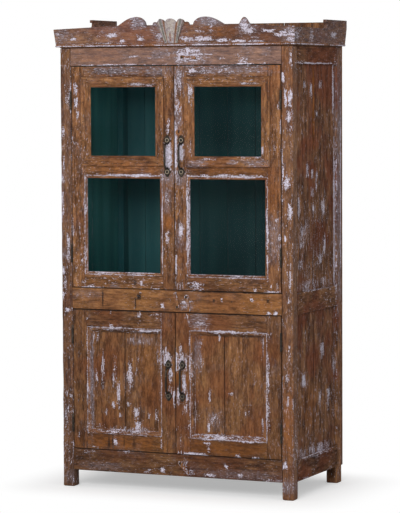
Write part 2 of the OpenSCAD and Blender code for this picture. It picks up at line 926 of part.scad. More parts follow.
// Ovolo moulding from the face of the door down to the panel
module moulding_section() {
  back = 1;
  fillet = 4;
  lip = 2;
  steps = 6;
  round_w = moulding_w - fillet - lip;
  round_h = panel_y - back - 2 * lip;
  polygon(concat(
    [[0, panel_y], [0, back], [fillet, back]],
    [for (i = [0 : steps]) let (a = 90 * i / steps)
      [fillet + round_w * sin(a), panel_y - lip - round_h * cos(a)]],
    [[moulding_w, panel_y - lip], [moulding_w, panel_y]]
  ));
}

module lower_moulding(side) {
  color(pale_paint)
    in_door(side)
      mitred_frame(lower_stile_w, door_w - lower_stile_w, panel_open[0], panel_open[1], moulding_w)
        moulding_section();
}

module lower_panel(side) {
  x0 = lower_stile_w - groove_d;
  x1 = door_w - lower_stile_w + groove_d;
  joint = x0 + (side == LEFT ? left_outer_board : right_outer_board);
  color(wood)
    in_door(side)
      for (x = [[x0, joint], [joint + board_gap, x1]])
        span([x[0], panel_y, panel_open[0] - groove_d], [x[1], panel_y + panel_t, panel_open[1] + groove_d]);
}

// Handles: a bow between two trefoil plates

// Round plate with a leaf at the top, one on each side and a neck down to the bow
module trefoil() {
  disc_r = leaf_r * 1.4;
  side_r = leaf_r * 0.7;
  circle(disc_r);
  translate([0, plate_top - leaf_r]) circle(leaf_r);
  for (s = [-1, 1])
    translate([s * disc_r, 0]) circle(side_r);
  translate([0, -bow_root]) circle(bow_r + 0.8);
  translate([-bow_r, -bow_root]) square([2 * bow_r, bow_root]);
}

module handle_half() {
  bow_z = handle_span / 2 - bow_root;
  translate([0, 0, handle_span / 2])
    rotate([90, 0, 0]) linear_extrude(plate_t) trefoil();
  translate([0, 0, bow_z]) rotate([90, 0, 0]) cylinder(h = bow_stand - bow_bend_r, r = bow_r);
  translate([0, bow_bend_r - bow_stand, bow_z - bow_bend_r])
    rotate([0, -90, 180])
      rotate_extrude(angle = 90) translate([bow_bend_r, 0]) circle(bow_r);
  translate([0, -bow_stand, 0]) cylinder(h = bow_z - bow_bend_r, r = bow_r);
}

module handle(side, z) {
  hole_r = 2;
  color(iron)
    in_door(side) translate([door_w - handle_inset, 0, z])
      difference() {
        union() {
          handle_half();
          mirror([0, 0, 1]) handle_half();
        }
        for (s = [-1, 1])
          translate([0, eps, s * handle_span / 2])
            rotate([90, 0, 0]) cylinder(h = plate_t + 2 * eps, r = hole_r);
      }
}

// Hinges

upper_hinge_levels = [upper_door_z + upper_hinge_in, upper_door_top - upper_hinge_in];
lower_hinge_levels = [lower_door_z + lower_hinge_in, lower_door_top - lower_hinge_in];
hinge_x = -door_gap / 2;

// Shallow seats for the leaves in the edge of a door
module hinge_leaf_seats(levels) {
  for (z = levels)
    span([-eps, -eps, z - hinge_l / 2], [leaf_bite, hinge_leaf_w, z + hinge_l / 2]);
}

// The same seats in a post, for all of its hinges
module hinge_mortises() {
  translate([-open_half, 0, 0]) mirror([1, 0, 0])
    hinge_leaf_seats(concat(upper_hinge_levels, lower_hinge_levels));
}

// A leaf and its knuckles, from the first knuckle by twos, drawn for the door's side of the pin
module hinge_leaf(first) {
  x0 = hinge_x + leaf_gap;
  x1 = x0 + hinge_leaf_t;
  difference() {
    union() {
      span([x0, 0, -hinge_l / 2], [x1, hinge_leaf_w, hinge_l / 2]);
      for (i = [first : 2 : knuckle_n - 1])
        translate([0, 0, i * knuckle_pitch - hinge_l / 2]) {
          span([x0, hinge_y, 0], [x1, eps, knuckle_l]);
          translate([hinge_x, hinge_y, 0]) cylinder(h = knuckle_l, r = knuckle_r);
        }
    }
    translate([hinge_x, hinge_y, -hinge_l]) cylinder(h = 2 * hinge_l, r = pin_r + run_clear);
  }
}

module door_hinge_leaves(side, levels) {
  color(iron)
    in_door(side)
      for (z = levels)
        translate([0, 0, z]) hinge_leaf(1);
}

module at_all_hinges() {
  for (side = [LEFT, RIGHT], z = concat(upper_hinge_levels, lower_hinge_levels))
    in_door(side) translate([0, 0, z]) children();
}

module hinge_fixed_leaves() {
  color(iron)
    at_all_hinges() translate([2 * hinge_x, 0, 0]) mirror([1, 0, 0]) hinge_leaf(0);
}

module hinge_pins() {
  color(iron)
    at_all_hinges() translate([hinge_x, hinge_y, -hinge_l / 2]) {
      cylinder(h = hinge_l + pin_head_h, r = pin_r);
      translate([0, 0, hinge_l]) cylinder(h = pin_head_h, r = pin_r + 1.2);
    }
}

// Turn buttons

module button_outline() {
  d = button_l - button_tip_r;
  a = asin((button_r - button_tip_r) / d);
  circle(button_r);
  translate([0, d]) circle(button_tip_r);
  polygon([
    [button_r * cos(a), button_r * sin(a)], [button_tip_r * cos(a), d + button_tip_r * sin(a)],
    [-button_tip_r * cos(a), d + button_tip_r * sin(a)], [-button_r * cos(a), button_r * sin(a)]
  ]);
}

module button(at, rest) {
  color(worn_wood)
    in_case()
      translate([at[0], -slide_clear, at[1]]) rotate([0, rest, 0]) rotate([90, 0, 0])
        linear_extrude(button_t)
          difference() {
            button_outline();
            circle(screw_r + run_clear);
          }
}

module button_screws() {
  head_y = -2 * slide_clear - button_t;
  color(iron)
    in_case()
      for (at = [button_top_at, button_mid_upper_at, button_mid_lower_at, button_base_at])
        translate([at[0], 0, at[1]]) rotate([90, 0, 0]) {
          translate([0, 0, -front_rail_t / 2]) cylinder(h = front_rail_t / 2 - head_y, r = screw_r);
          translate([0, 0, -head_y]) cylinder(h = screw_head_t, r = screw_head_r);
        }
}

front_post(LEFT);  // post_front_left
front_post(RIGHT);  // post_front_right
rear_post(LEFT);  // post_rear_left
rear_post(RIGHT);  // post_rear_right
front_top_rail();
front_mid_rail();
front_base_rail();
door_stops();
side_rails(LEFT);  // left_side_rails
side_rails(RIGHT);  // right_side_rails
rear_rails();
side_panel(LEFT, true);  // left_upper_panel
side_panel(LEFT, false);  // left_lower_panel
side_panel(RIGHT, true);  // right_upper_panel
side_panel(RIGHT, false);  // right_lower_panel
back_planks();
top_board();
floor_board(mid_top_z);  // middle_floor
floor_board(base_top_z);  // cabinet_floor
shelf(upper_shelf_z);  // upper_shelf
shelf(lower_shelf_z);  // lower_shelf
shelf_cleats();
crest_board();
crest_shell();
gallery_board(LEFT, left_block_h);  // left_gallery_board
gallery_board(RIGHT, right_block_h);  // right_gallery_board
cornice_bead();
upper_stiles(LEFT);  // upper_left_stiles
upper_rails(LEFT);  // upper_left_rails
upper_pane_frame(LEFT);  // upper_left_pane_frame
glazing_beads(LEFT);  // upper_left_beads
panes(LEFT);  // upper_left_panes
upper_stiles(RIGHT);  // upper_right_stiles
upper_rails(RIGHT);  // upper_right_rails
upper_pane_frame(RIGHT);  // upper_right_pane_frame
glazing_beads(RIGHT);  // upper_right_beads
panes(RIGHT);  // upper_right_panes
lower_stiles(LEFT);  // lower_left_stiles
lower_rails(LEFT);  // lower_left_rails
lower_moulding(LEFT);  // lower_left_moulding
lower_panel(LEFT);  // lower_left_panel
lower_stiles(RIGHT);  // lower_right_stiles
lower_rails(RIGHT);  // lower_right_rails
lower_moulding(RIGHT);  // lower_right_moulding
lower_panel(RIGHT);  // lower_right_panel
handle(LEFT, upper_handle_z);  // upper_left_handle
handle(RIGHT, upper_handle_z);  // upper_right_handle
handle(LEFT, lower_handle_z);  // lower_left_handle
handle(RIGHT, lower_handle_z);  // lower_right_handle
hinge_fixed_leaves();
hinge_pins();
door_hinge_leaves(LEFT, upper_hinge_levels);  // upper_left_hinge_leaves
door_hinge_leaves(RIGHT, upper_hinge_levels);  // upper_right_hinge_leaves
door_hinge_leaves(LEFT, lower_hinge_levels);  // lower_left_hinge_leaves
door_hinge_leaves(RIGHT, lower_hinge_levels);  // lower_right_hinge_leaves
button(button_top_at, button_top_rest);  // button_top
button(button_mid_upper_at, button_mid_upper_rest);  // button_mid_upper
button(button_mid_lower_at, button_mid_lower_rest);  // button_mid_lower
button(button_base_at, button_base_rest);  // button_base
button_screws();
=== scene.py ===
import json
import math

import bmesh
import bpy
from mathutils import Matrix, Vector, noise


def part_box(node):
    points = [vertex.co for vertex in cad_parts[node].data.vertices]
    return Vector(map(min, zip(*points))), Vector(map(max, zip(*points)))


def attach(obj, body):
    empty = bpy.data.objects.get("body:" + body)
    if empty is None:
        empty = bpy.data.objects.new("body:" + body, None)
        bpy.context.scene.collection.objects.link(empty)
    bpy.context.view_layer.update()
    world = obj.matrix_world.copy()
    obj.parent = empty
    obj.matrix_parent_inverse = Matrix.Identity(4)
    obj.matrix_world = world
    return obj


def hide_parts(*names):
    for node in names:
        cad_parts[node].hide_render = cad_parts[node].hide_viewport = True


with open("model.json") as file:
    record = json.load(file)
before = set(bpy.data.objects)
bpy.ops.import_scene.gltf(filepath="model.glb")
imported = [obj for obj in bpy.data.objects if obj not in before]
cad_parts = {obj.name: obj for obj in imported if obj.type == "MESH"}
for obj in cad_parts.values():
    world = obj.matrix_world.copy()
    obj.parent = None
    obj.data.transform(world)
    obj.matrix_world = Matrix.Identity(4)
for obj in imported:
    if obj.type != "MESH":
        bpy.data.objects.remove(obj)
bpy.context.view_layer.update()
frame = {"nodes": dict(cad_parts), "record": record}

# Looks of the rustic display cabinet. Metres, front towards -Y, origin on the floor.

# Places taken from the frame
POST_LO, POST_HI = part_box("post_front_left")
RIGHT_POST_LO, RIGHT_POST_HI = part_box("post_front_right")
FRONT_Y = POST_LO[1]
CASE_LEFT = POST_LO[0]
CASE_RIGHT = RIGHT_POST_HI[0]
CASE_TOP = POST_HI[2]
OPEN_HALF = RIGHT_POST_LO[0]
PLANK_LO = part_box("back_planks")[0]
PANEL_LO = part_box("right_upper_panel")[0]
BEAD_LO, BEAD_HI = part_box("cornice_bead")
FLOOR_LO, FLOOR_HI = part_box("cabinet_floor")
SHELL_LO, SHELL_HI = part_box("crest_shell")
UPPER_SHELF_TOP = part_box("upper_shelf")[1][2]

# The photograph's camera, solved from the photograph's straight edges in the case's own frame
PHOTO_SIZE = (400, 513)
FOCAL_PIXELS = 2500.0
SENSOR = 36.0
CAMERA_FROM_CORNER = (4.7537, -9.2405, 1.6520)
CAMERA_YAW, CAMERA_PITCH, CAMERA_ROLL = (math.radians(a) for a in (24.05, 3.825, -0.274))

CAMERA_PLACE = Vector((CASE_LEFT, FRONT_Y, 0.0)) + Vector(CAMERA_FROM_CORNER)
CAMERA_TURN = (Matrix.Rotation(CAMERA_YAW, 3, "Z") @ Matrix.Rotation(math.radians(90) - CAMERA_PITCH, 3, "X")
               @ Matrix.Rotation(CAMERA_ROLL, 3, "Z"))


def on_plane(across, down, axis, level):
    """The point of the plane axis = level that the photograph shows at a pixel."""
    ray = CAMERA_TURN @ Vector((across - PHOTO_SIZE[0] / 2, PHOTO_SIZE[1] / 2 - down, -FOCAL_PIXELS))
    return CAMERA_PLACE + ray * ((level - CAMERA_PLACE[axis]) / ray[axis])


# Colours, written in sRGB
def srgb(r, g, b):
    """A colour given in 0-255 sRGB as the linear colour that shader sockets hold."""
    def linear(v):
        v /= 255.0
        return v / 12.92 if v <= 0.04045 else ((v + 0.055) / 1.055) ** 2.4
    return (linear(r), linear(g), linear(b), 1.0)


WOOD_DARK = srgb(76, 46, 30)
WOOD_MID = srgb(124, 83, 54)
WOOD_LIGHT = srgb(154, 110, 72)
WOOD_GOLD = srgb(146, 99, 54)
WOOD_RED = srgb(120, 64, 34)
WOOD_BARE = srgb(152, 92, 40)
WOOD_GREY = srgb(124, 113, 118)
PAINT_PALE = srgb(216, 210, 226)
PAINT_GREY = srgb(146, 133, 137)
# Dark of cracks, pits, stains and dirty seams, and of painted shade
CRACK_DARK = srgb(36, 25, 20)
RIM_DARK = srgb(56, 36, 26)
TEAL_DARK = srgb(36, 80, 84)
TEAL_LIGHT = srgb(46, 92, 94)
# A paler teal: painted light for inner faces that get little light
TEAL_WALL = srgb(64, 128, 126)
IRON_DARK = srgb(46, 41, 36)
IRON_RUST = srgb(98, 82, 66)
# Pale iron of the rims round the screws: rubbed iron, and a painted highlight
IRON_RUBBED = srgb(158, 144, 124)
IRON_DULL = srgb(104, 94, 80)
# Near-black screw heads: dark old iron, and painted shade of the sunk heads
IRON_SUNK = srgb(22, 18, 15)
PETAL_PALE = srgb(174, 163, 154)
PETAL_GREEN = srgb(104, 103, 94)
GLASS_TINT = (0.86, 0.93, 0.92, 1.0)
FLOOR_GREY = (0.72, 0.72, 0.72, 1.0)
WHITE = (1.0, 1.0, 1.0, 1.0)

# Noise by its use: features per metre, detail, roughness and distortion
NOISE = {
    "figure": (19.0, 3.0, 0.6, 0.6),
    "streak": (150.0, 5.0, 0.74, 0.0),
    "fibre": (420.0, 3.0, 0.7, 0.0),
    "mottle": (62.0, 6.0, 0.78, 0.0),
    "crack line": (34.0, 5.0, 0.62, 0.4),
    "ragged edge": (60.0, 4.0, 0.6, 0.0),
    "paint zones": (8.0, 2.0, 0.5, 0.0),
    "paint flakes": (125.0, 5.0, 0.74, 0.3),
    "paint chips": (200.0, 4.0, 0.78, 0.0),
    "mark bend": (30.0, 2.0, 0.6, 0.0),
    "mark edge": (120.0, 4.0, 0.8, 0.0),
    "mark edge along": (150.0, 4.0, 0.8, 0.0),
    "teal streaks": (22.0, 2.0, 0.5, 0.0),
    "teal clouds": (3.0, 2.0, 0.5, 0.0),
    "broad": (5.0, 3.0, 0.6, 0.0),
    "bloom": (8.0, 4.0, 0.65, 0.0),
    "speckle": (240.0, 3.0, 0.75, 0.0),
    "petal chips": (190.0, 4.0, 0.7, 0.0),
    "petal clouds": (60.0, 3.0, 0.6, 0.0),
    "iron pits": (260.0, 4.0, 0.7, 0.0),
    "rust": (70.0, 4.0, 0.65, 0.0),
    "glass dust": (9.0, 2.0, 0.5, 0.0),
}


# Shader building
class Shader:
    """Adds nodes to one shader tree and joins them."""

    def __init__(self, tree):
        self.tree = tree

    def add(self, kind, inputs=None, **settings):
        node = self.tree.nodes.new("ShaderNode" + kind)
        for name, value in settings.items():
            setattr(node, name, value)
        for name, value in (inputs or {}).items():
            self.feed(node.inputs[name], value)
        return node

    def feed(self, socket, value):
        if isinstance(value, bpy.types.NodeSocket):
            self.tree.links.new(value, socket)
        else:
            socket.default_value = value

    def math(self, operation, *values):
        return self.add("Math", dict(enumerate(values)), operation=operation).outputs[0]

    def joined(self, operation, values):
        """All the values put together by one operation, from the first on."""
        total = values[0]
        for value in values[1:]:
            total = self.math(operation, total, value)
        return total

    def plus(self, *values):
        return self.joined("ADD", values)

    def times(self, *values):
        return self.joined("MULTIPLY", values)

    def most(self, *values):
        return self.joined("MAXIMUM", values)

    def least(self, *values):
        return self.joined("MINIMUM", values)

    def minus(self, first, second):
        return self.math("SUBTRACT", first, second)

    def unsigned(self, value):
        return self.math("ABSOLUTE", value)

    def blend(self, *parts):
        """Sum of (value, share) pairs."""
        return self.plus(*[self.times(value, share) for value, share in parts])

    def here(self):
        """The shaded point, in the piece's own space."""
        return self.add("TexCoord").outputs["Object"]

    def parts(self, vector):
        return self.add("SeparateXYZ", {0: vector}).outputs

    def vector(self, operation, *values):
        node = self.add("VectorMath", dict(enumerate(values)), operation=operation)
        return node.outputs["Value" if operation in ("DOT_PRODUCT", "LENGTH") else "Vector"]

    def scaled(self, vector, factor):
        return self.add("VectorMath", {0: vector, "Scale": factor}, operation="SCALE").outputs["Vector"]

    def step(self, value, low, high, to_low=0.0, to_high=1.0):
        """Smooth change from to_low to to_high as value goes from low to high."""
        node = self.add("MapRange", {"Value": value, "From Min": low, "From Max": high,
                                     "To Min": to_low, "To Max": to_high}, interpolation_type="SMOOTHSTEP")
        return node.outputs["Result"]

    def hump(self, value, start, full, fade, end):
        """1 from full to fade, and 0 before start and after end."""
        return self.times(self.step(value, start, full), self.step(value, fade, end, 1.0, 0.0))

    def cover(self, under, over, *shares):
        """One colour with another laid over it, as much as the product of the shares."""
        return self.add("Mix", {0: self.times(*shares), 6: under, 7: over}, data_type="RGBA").outputs[2]

    def shaded(self, colour, value):
        return self.add("HueSaturation", {"Value": value, "Color": colour}).outputs["Color"]

    def noise(self, vector, use, output="Fac"):
        names = ("Scale", "Detail", "Roughness", "Distortion")
        return self.add("TexNoise", {"Vector": vector, **dict(zip(names, NOISE[use]))}).outputs[output]

    def attribute(self, name, output="Fac"):
        return self.add("Attribute", attribute_name=name).outputs[output]

    def place(self, group, **inputs):
        node = self.add("Group", node_tree=group)
        for name, value in inputs.items():
            self.feed(node.inputs[name], value)
        return node.outputs

    def end(self, kind, outcome):
        """Ends the tree with an output node."""
        self.tree.links.new(outcome, self.add("Output" + kind).inputs["Surface"])


def effect(name, inputs, outputs, build):
    """A shader node group: inputs are {name: (type, default)}, outputs are {name: type}."""
    tree = bpy.data.node_groups.new(name, "ShaderNodeTree")
    for label, (kind, default) in inputs.items():
        socket = tree.interface.new_socket(label, in_out="INPUT", socket_type="NodeSocket" + kind)
        if default is not None:
            socket.default_value = default
    for label, kind in outputs.items():
        tree.interface.new_socket(label, in_out="OUTPUT", socket_type="NodeSocket" + kind)
    shader = Shader(tree)
    source = tree.nodes.new("NodeGroupInput").outputs
    sink = tree.nodes.new("NodeGroupOutput").inputs
    for label, socket in build(shader, source).items():
        tree.links.new(socket, sink[label])
    return tree


# How much of the way along a board counts in a pattern: the less, the longer its streaks
FINE_PULL = 0.04
FIGURE_PULL = 0.12
FLAKE_PULL = 0.15
SHORT_PULL = 0.28
SEED_STEP = (13.1, 7.7, 5.3)
CRACK_HALF = 0.006
CRACKED = (0.54, 0.60)
# How near a board's edge its seam is darkened: dirt and painted shade in the gaps
SEAM = (0.0002, 0.0022)
# The level that old paint's noise has to pass, and how far Amount lowers it
PAINT_LEVEL = 0.672
LEVEL_BY_AMOUNT = 0.1
PAINT_EDGE, PAINT_FULL, PAINT_RIM = 0.02, 0.09, 0.026


def build_grain(s, given):
    """Coordinates pulled out along the board, and the grain drawn on them."""
    place = s.scaled(s.here(), given["Fineness"])
    axis = s.attribute("grain_axis", "Vector")
    seed = s.attribute("board_seed")
    along = s.vector("DOT_PRODUCT", place, axis)
    offset = s.scaled(SEED_STEP, seed)

    def pulled(keep):
        drop = s.scaled(axis, s.times(along, 1.0 - keep))
        return s.vector("ADD", s.vector("SUBTRACT", place, drop), offset)

    fine = pulled(FINE_PULL)
    short = pulled(SHORT_PULL)
    figure = s.noise(pulled(FIGURE_PULL), "figure")
    streak = s.noise(fine, "streak")
    mottle = s.noise(short, "mottle")
    line = s.unsigned(s.minus(s.noise(fine, "crack line"), 0.5))
    crack = s.times(s.step(line, 0.0, CRACK_HALF, 1.0, 0.0), s.step(mottle, *CRACKED))
    return {"Tone": s.blend((figure, 0.24), (streak, 0.40), (mottle, 0.36)), "Fibre": s.noise(fine, "fibre"),
            "Mottle": mottle, "Crack": crack, "Along": pulled(FLAKE_PULL), "Short": short, "Seed": seed}


def build_edges(s, given):
    """How near a point lies to the edges of its own board, from the board's box."""
    place = s.here()
    low = s.attribute("board_lo", "Vector")
    high = s.attribute("board_hi", "Vector")
    near = s.parts(s.vector("MINIMUM", s.vector("SUBTRACT", place, low), s.vector("SUBTRACT", high, place)))
    smaller = s.least(near[0], near[1])
    larger = s.most(near[0], near[1])
    middle = s.most(smaller, s.least(larger, near[2]))
    torn = s.times(s.minus(s.noise(place, "ragged edge"), 0.5), given["Ragged"])
    # The seam is where dirt and painted shade darken the board's edges
    return {"Edge": s.step(s.plus(middle, torn), 0.0, given["Width"], 1.0, 0.0),
            "Seam": s.step(middle, *SEAM, 1.0, 0.0)}


def build_paint(s, given):
    """Where old pale paint still holds: flakes along the grain, more where Bias is high."""
    place = s.here()
    zones = s.noise(place, "paint zones")
    flakes = s.noise(given["Along"], "paint flakes")
    chips = s.noise(place, "paint chips")
    field = s.plus(s.blend((zones, 0.20), (flakes, 0.44), (chips, 0.36)), given["Bias"])
    over = s.minus(field, s.minus(PAINT_LEVEL, s.times(given["Amount"], LEVEL_BY_AMOUNT)))
    held = s.times(s.step(over, 0.0, PAINT_EDGE), s.step(over, 0.0, PAINT_FULL, 0.72, 1.0))
    return {"Mask": held, "Rim": s.step(s.unsigned(over), 0.0, PAINT_RIM, 1.0, 0.0), "Tone": chips}


GRAIN = effect("board_grain", {"Fineness": ("Float", 1.0)},
               {"Tone": "Float", "Fibre": "Float", "Mottle": "Float", "Crack": "Float",
                "Along": "Vector", "Short": "Vector", "Seed": "Float"}, build_grain)
EDGES = effect("board_edges", {"Width": ("Float", 0.006), "Ragged": ("Float", 0.008)},
               {"Edge": "Float", "Seam": "Float"}, build_edges)
PAINT = effect("old_paint", {"Along": ("Vector", None), "Bias": ("Float", 0.0), "Amount": ("Float", 0.3)},
               {"Mask": "Float", "Rim": "Float", "Tone": "Float"}, build_paint)

# Marks of wear, and marks of painted shade
# Each mark is read off the photograph: its left, top, right and bottom pixel and its strength.
# Paint is held paint, bloom is grey speckled haze, bare is clean golden wood; dark marks are stains,
# nail heads, holes and cracks, and painted shade where a mark is named shade.
CREST_MARKS = {"paint": {
    "left end streak": (55, 32, 60, 35, 0.45), "left thin streak": (70, 38, 76, 40.5, 0.7),
    "left flakes": (104, 33.5, 118, 37.6, 0.62), "left scratches": (94, 31, 103, 38, 0.32),
    "left flakes, low": (119, 40, 124, 43, 0.8), "left foot line": (89, 42.3, 126, 44.5, 0.5),
    "flakes under left scroll": (136, 34.5, 143.5, 41.5, 0.62),
    "streaks left of shell": (153.5, 34, 162, 41, 0.42),
    "flake right of shell": (194, 27.5, 201.5, 33.5, 0.62),
    "band right of shell": (179, 36.5, 194, 41.6, 0.66), "band, middle": (193, 36, 216, 41, 0.72),
    "band, right": (214, 38.2, 230, 42, 0.85), "band, peak": (229, 39.8, 245, 42, 0.9),
    "band, end": (244, 40.3, 265, 41.8, 0.5), "right scroll flake": (208.5, 25, 213, 32.5, 0.62),
    "right slope flake": (222, 27, 228.5, 29.6, 0.6), "peak paint": (240, 19, 248, 30, 0.46),
    "peak foot": (243, 27.5, 254, 33, 0.62), "flakes right of peak": (249, 34.5, 259, 38, 0.5),
    "right streak": (262, 29, 276, 32.3, 0.85), "right patch": (270, 31, 290, 36.5, 0.62),
    "right end": (286, 26.5, 296, 44.5, 0.42), "right foot": (273, 42.5, 296, 45, 0.5),
}, "bloom": {
    "left end haze": (54, 29, 68, 43, 0.9), "left scroll haze": (130, 16.5, 147, 28.5, 1.6),
    "haze left of shell": (149, 27, 159, 34, 0.9), "right scroll haze": (196, 15.5, 224, 25.5, 1.7),
    "peak haze": (236, 18, 258, 34, 0.8), "right end haze": (280, 26.5, 297, 44.5, 0.5),
}, "bare": {
    "red brown middle": (200, 26, 238, 38, 1.1), "red brown right": (240, 32, 270, 41, 0.55),
}, "stain": {
    "left scroll dark edge": (143, 18, 147.5, 28, 0.35), "dark right part": (196, 20, 300, 45, 0.5),
}}
CREST_SIDE_MARKS = {"paint": {
    "scratches": (306, 30, 310, 42, 0.5), "slanting scratch": (327, 31.5, 332.5, 38, 0.5),
    "rear edge": (342, 30, 346, 48, 0.5),
}, "bloom": {
    "haze": (296, 26, 346, 46, 0.45),
}}
TOP_RAIL_MARKS = {"paint": {
    "thin wave, left": (120.5, 57, 131, 59.2, 0.6), "thin wave, middle": (126, 55.3, 143, 57.2, 0.72),
    "thin wave, right": (141, 56.2, 153, 59, 0.62), "round the top button": (173, 49, 206, 64, 0.5),
    "above the top button": (185, 47, 190, 56, 0.75), "beside the top button": (187, 55, 198, 62, 0.6),
    "thin line beside it": (203.5, 53.8, 213.5, 55.4, 0.55), "flecks left of it": (167.5, 52, 172, 62, 0.4),
    "slanting scratch, top": (233.5, 54, 240, 58.5, 0.5), "slanting scratch, foot": (239, 57, 248, 63, 0.5),
    "flecks, right": (217, 56.8, 228, 59, 0.42), "flecks, left": (84, 56.5, 100, 61, 0.36),
    "lower edge, left": (71, 63.6, 172, 65.4, 0.52), "lower edge, right": (214, 62.4, 281, 64.2, 0.5),
}, "bloom": {
    "haze left of it": (150, 48, 171, 60, 0.9), "haze round it": (171, 48, 210, 64.5, 0.8),
    "right haze": (262, 47, 270, 56, 0.6),
}, "bare": {
    "tan, left": (72, 50, 118, 62, 0.25),
}}
MID_RAIL_MARKS = {"paint": {
    "left streaks": (75, 291.5, 85, 297.5, 0.42), "left streak": (89.5, 291.7, 91.2, 298.5, 0.5),
    "by the hole": (138.3, 291.7, 142.2, 297.8, 0.62), "middle flake": (160.8, 302.2, 164.2, 308.8, 0.6),
    "pale by the low button": (168.6, 296.4, 171.6, 305, 0.46),
    "round patch": (180.2, 299.2, 191.4, 309.2, 0.6), "nail, second": (220.5, 298.4, 222.7, 302.4, 0.85),
    "nail, third": (250.2, 298.4, 253.2, 302.6, 0.95),
    "right end flake 1": (266.4, 311.8, 270.4, 315.4, 0.85),
    "right end flake 2": (273.4, 311, 277.8, 315.8, 0.95),
}, "bloom": {
    "round patch haze": (179.6, 298.6, 192.6, 310, 0.7), "haze, left": (72, 290, 100, 298, 0.4),
}, "bare": {
    "golden right half": (192, 295, 282, 313, 0.34),
}, "stain": {
    "nail, first": (212.4, 298.8, 214.8, 302.6, 0.7), "nail, fourth": (266.2, 299.6, 269.8, 303.2, 0.8),
    "crack, left": (101.9, 290, 103.2, 307, 0.9), "crack, middle": (134.4, 297, 136, 308.5, 0.9),
    # The shade under the right door is painted shade
    "hole": (137, 294, 141, 299.5, 1.0), "shade under the right door": (189, 290.4, 283, 293.4, 0.9),
}}
BASE_RAIL_MARKS = {"paint": {
    "by the button": (182, 456.5, 187.5, 473, 0.55), "below the button": (188.5, 470, 195, 475.5, 0.5),
    "fleck, right": (224.6, 464.5, 228, 469.3, 0.8), "foot, middle": (205, 473.5, 215, 477.5, 0.62),
    "foot, right": (237, 474, 243.6, 478, 0.62), "foot, far right": (263, 477.5, 280, 482, 0.5),
    "top, left": (84, 450, 97, 454, 0.45), "top, middle": (123, 451.2, 130.5, 454, 0.5),
    "foot, left flakes": (143.5, 468, 155, 473.5, 0.55), "foot, white patch": (160.5, 467, 165, 473.5, 0.95),
}, "bloom": {
    "foot haze": (84, 462, 123, 470, 0.5), "foot haze, right": (200, 470, 282, 480, 0.5),
}, "stain": {
    "left stain": (75, 452, 110, 462, 0.3),
}}
POST_MARKS = {"paint": {
    "left post, top": (64, 77, 71.5, 108, 0.42), "left post, streak": (61, 123.5, 65.5, 141, 0.45),
    "left post, edge 1": (60, 156, 65, 187, 0.55), "left post, edge 2": (61, 188, 64, 218, 0.62),
    "left post, low streak": (66.5, 235, 70.2, 265, 0.62), "left post, flake": (62.5, 267, 65.2, 274, 0.7),
    "left post, by mid rail": (62.5, 275.5, 67.7, 299, 0.52),
    "left post, below mid rail": (64.5, 307, 72, 312, 0.7),
    "left post, low flake": (64.2, 392, 72, 398, 0.45), "left post, low line": (67, 398, 70, 431, 0.38),
    "left post, foot line": (68.5, 456, 72, 467, 0.5), "right foot flakes": (284, 484, 293, 490, 0.4),
    "right post, under crest": (289, 48, 292, 66, 0.62), "right post, top": (281.3, 69.8, 284.6, 83.2, 0.7),
    "right post, pair left": (284, 87.5, 286.8, 106.5, 0.9),
    "right post, pair right": (288, 89.5, 291.8, 107.5, 0.9),
    "right post, slant": (285, 110, 291.6, 122.5, 0.5), "right post, flecks": (286, 125, 291.6, 155, 0.38),
    "right post, edge": (293, 110, 296.2, 185, 0.45),
    "right post, inner edge": (281.5, 137, 283.8, 205, 0.45),
    "right post, flake 1": (284.3, 177, 290, 189.8, 0.85),
    "right post, flake 2": (288, 204, 291.8, 220, 0.85),
    "right post, flake 3": (284.2, 235.8, 286.2, 241.5, 0.9),
    "right post, low line": (289, 267, 291.4, 300, 0.55),
    "right post, mid rail flake": (286.8, 296, 291.4, 304, 0.7),
    "right post, panel line": (286.8, 342, 290.8, 365, 0.45),
    "right post, flake 4": (285, 373, 290.8, 384, 0.46), "right post, flake 5": (287, 395.5, 289, 407, 0.62),
    "right post, low flake": (283.2, 461.5, 287, 469.2, 0.8),
    "right post, low edge": (294, 396, 297, 486, 0.8),
}, "bloom": {
    "left post, haze": (62, 248, 67, 260, 0.8), "left post, haze all": (61, 60, 73, 290, 0.2),
    "left foot": (64.5, 469, 75, 483, 0.6), "right foot": (282, 480, 295, 494, 0.9),
}, "bare": {
    "right post, golden": (282.5, 384, 293, 462, 0.9), "right post, golden top": (282, 50, 296, 100, 0.3),
}}
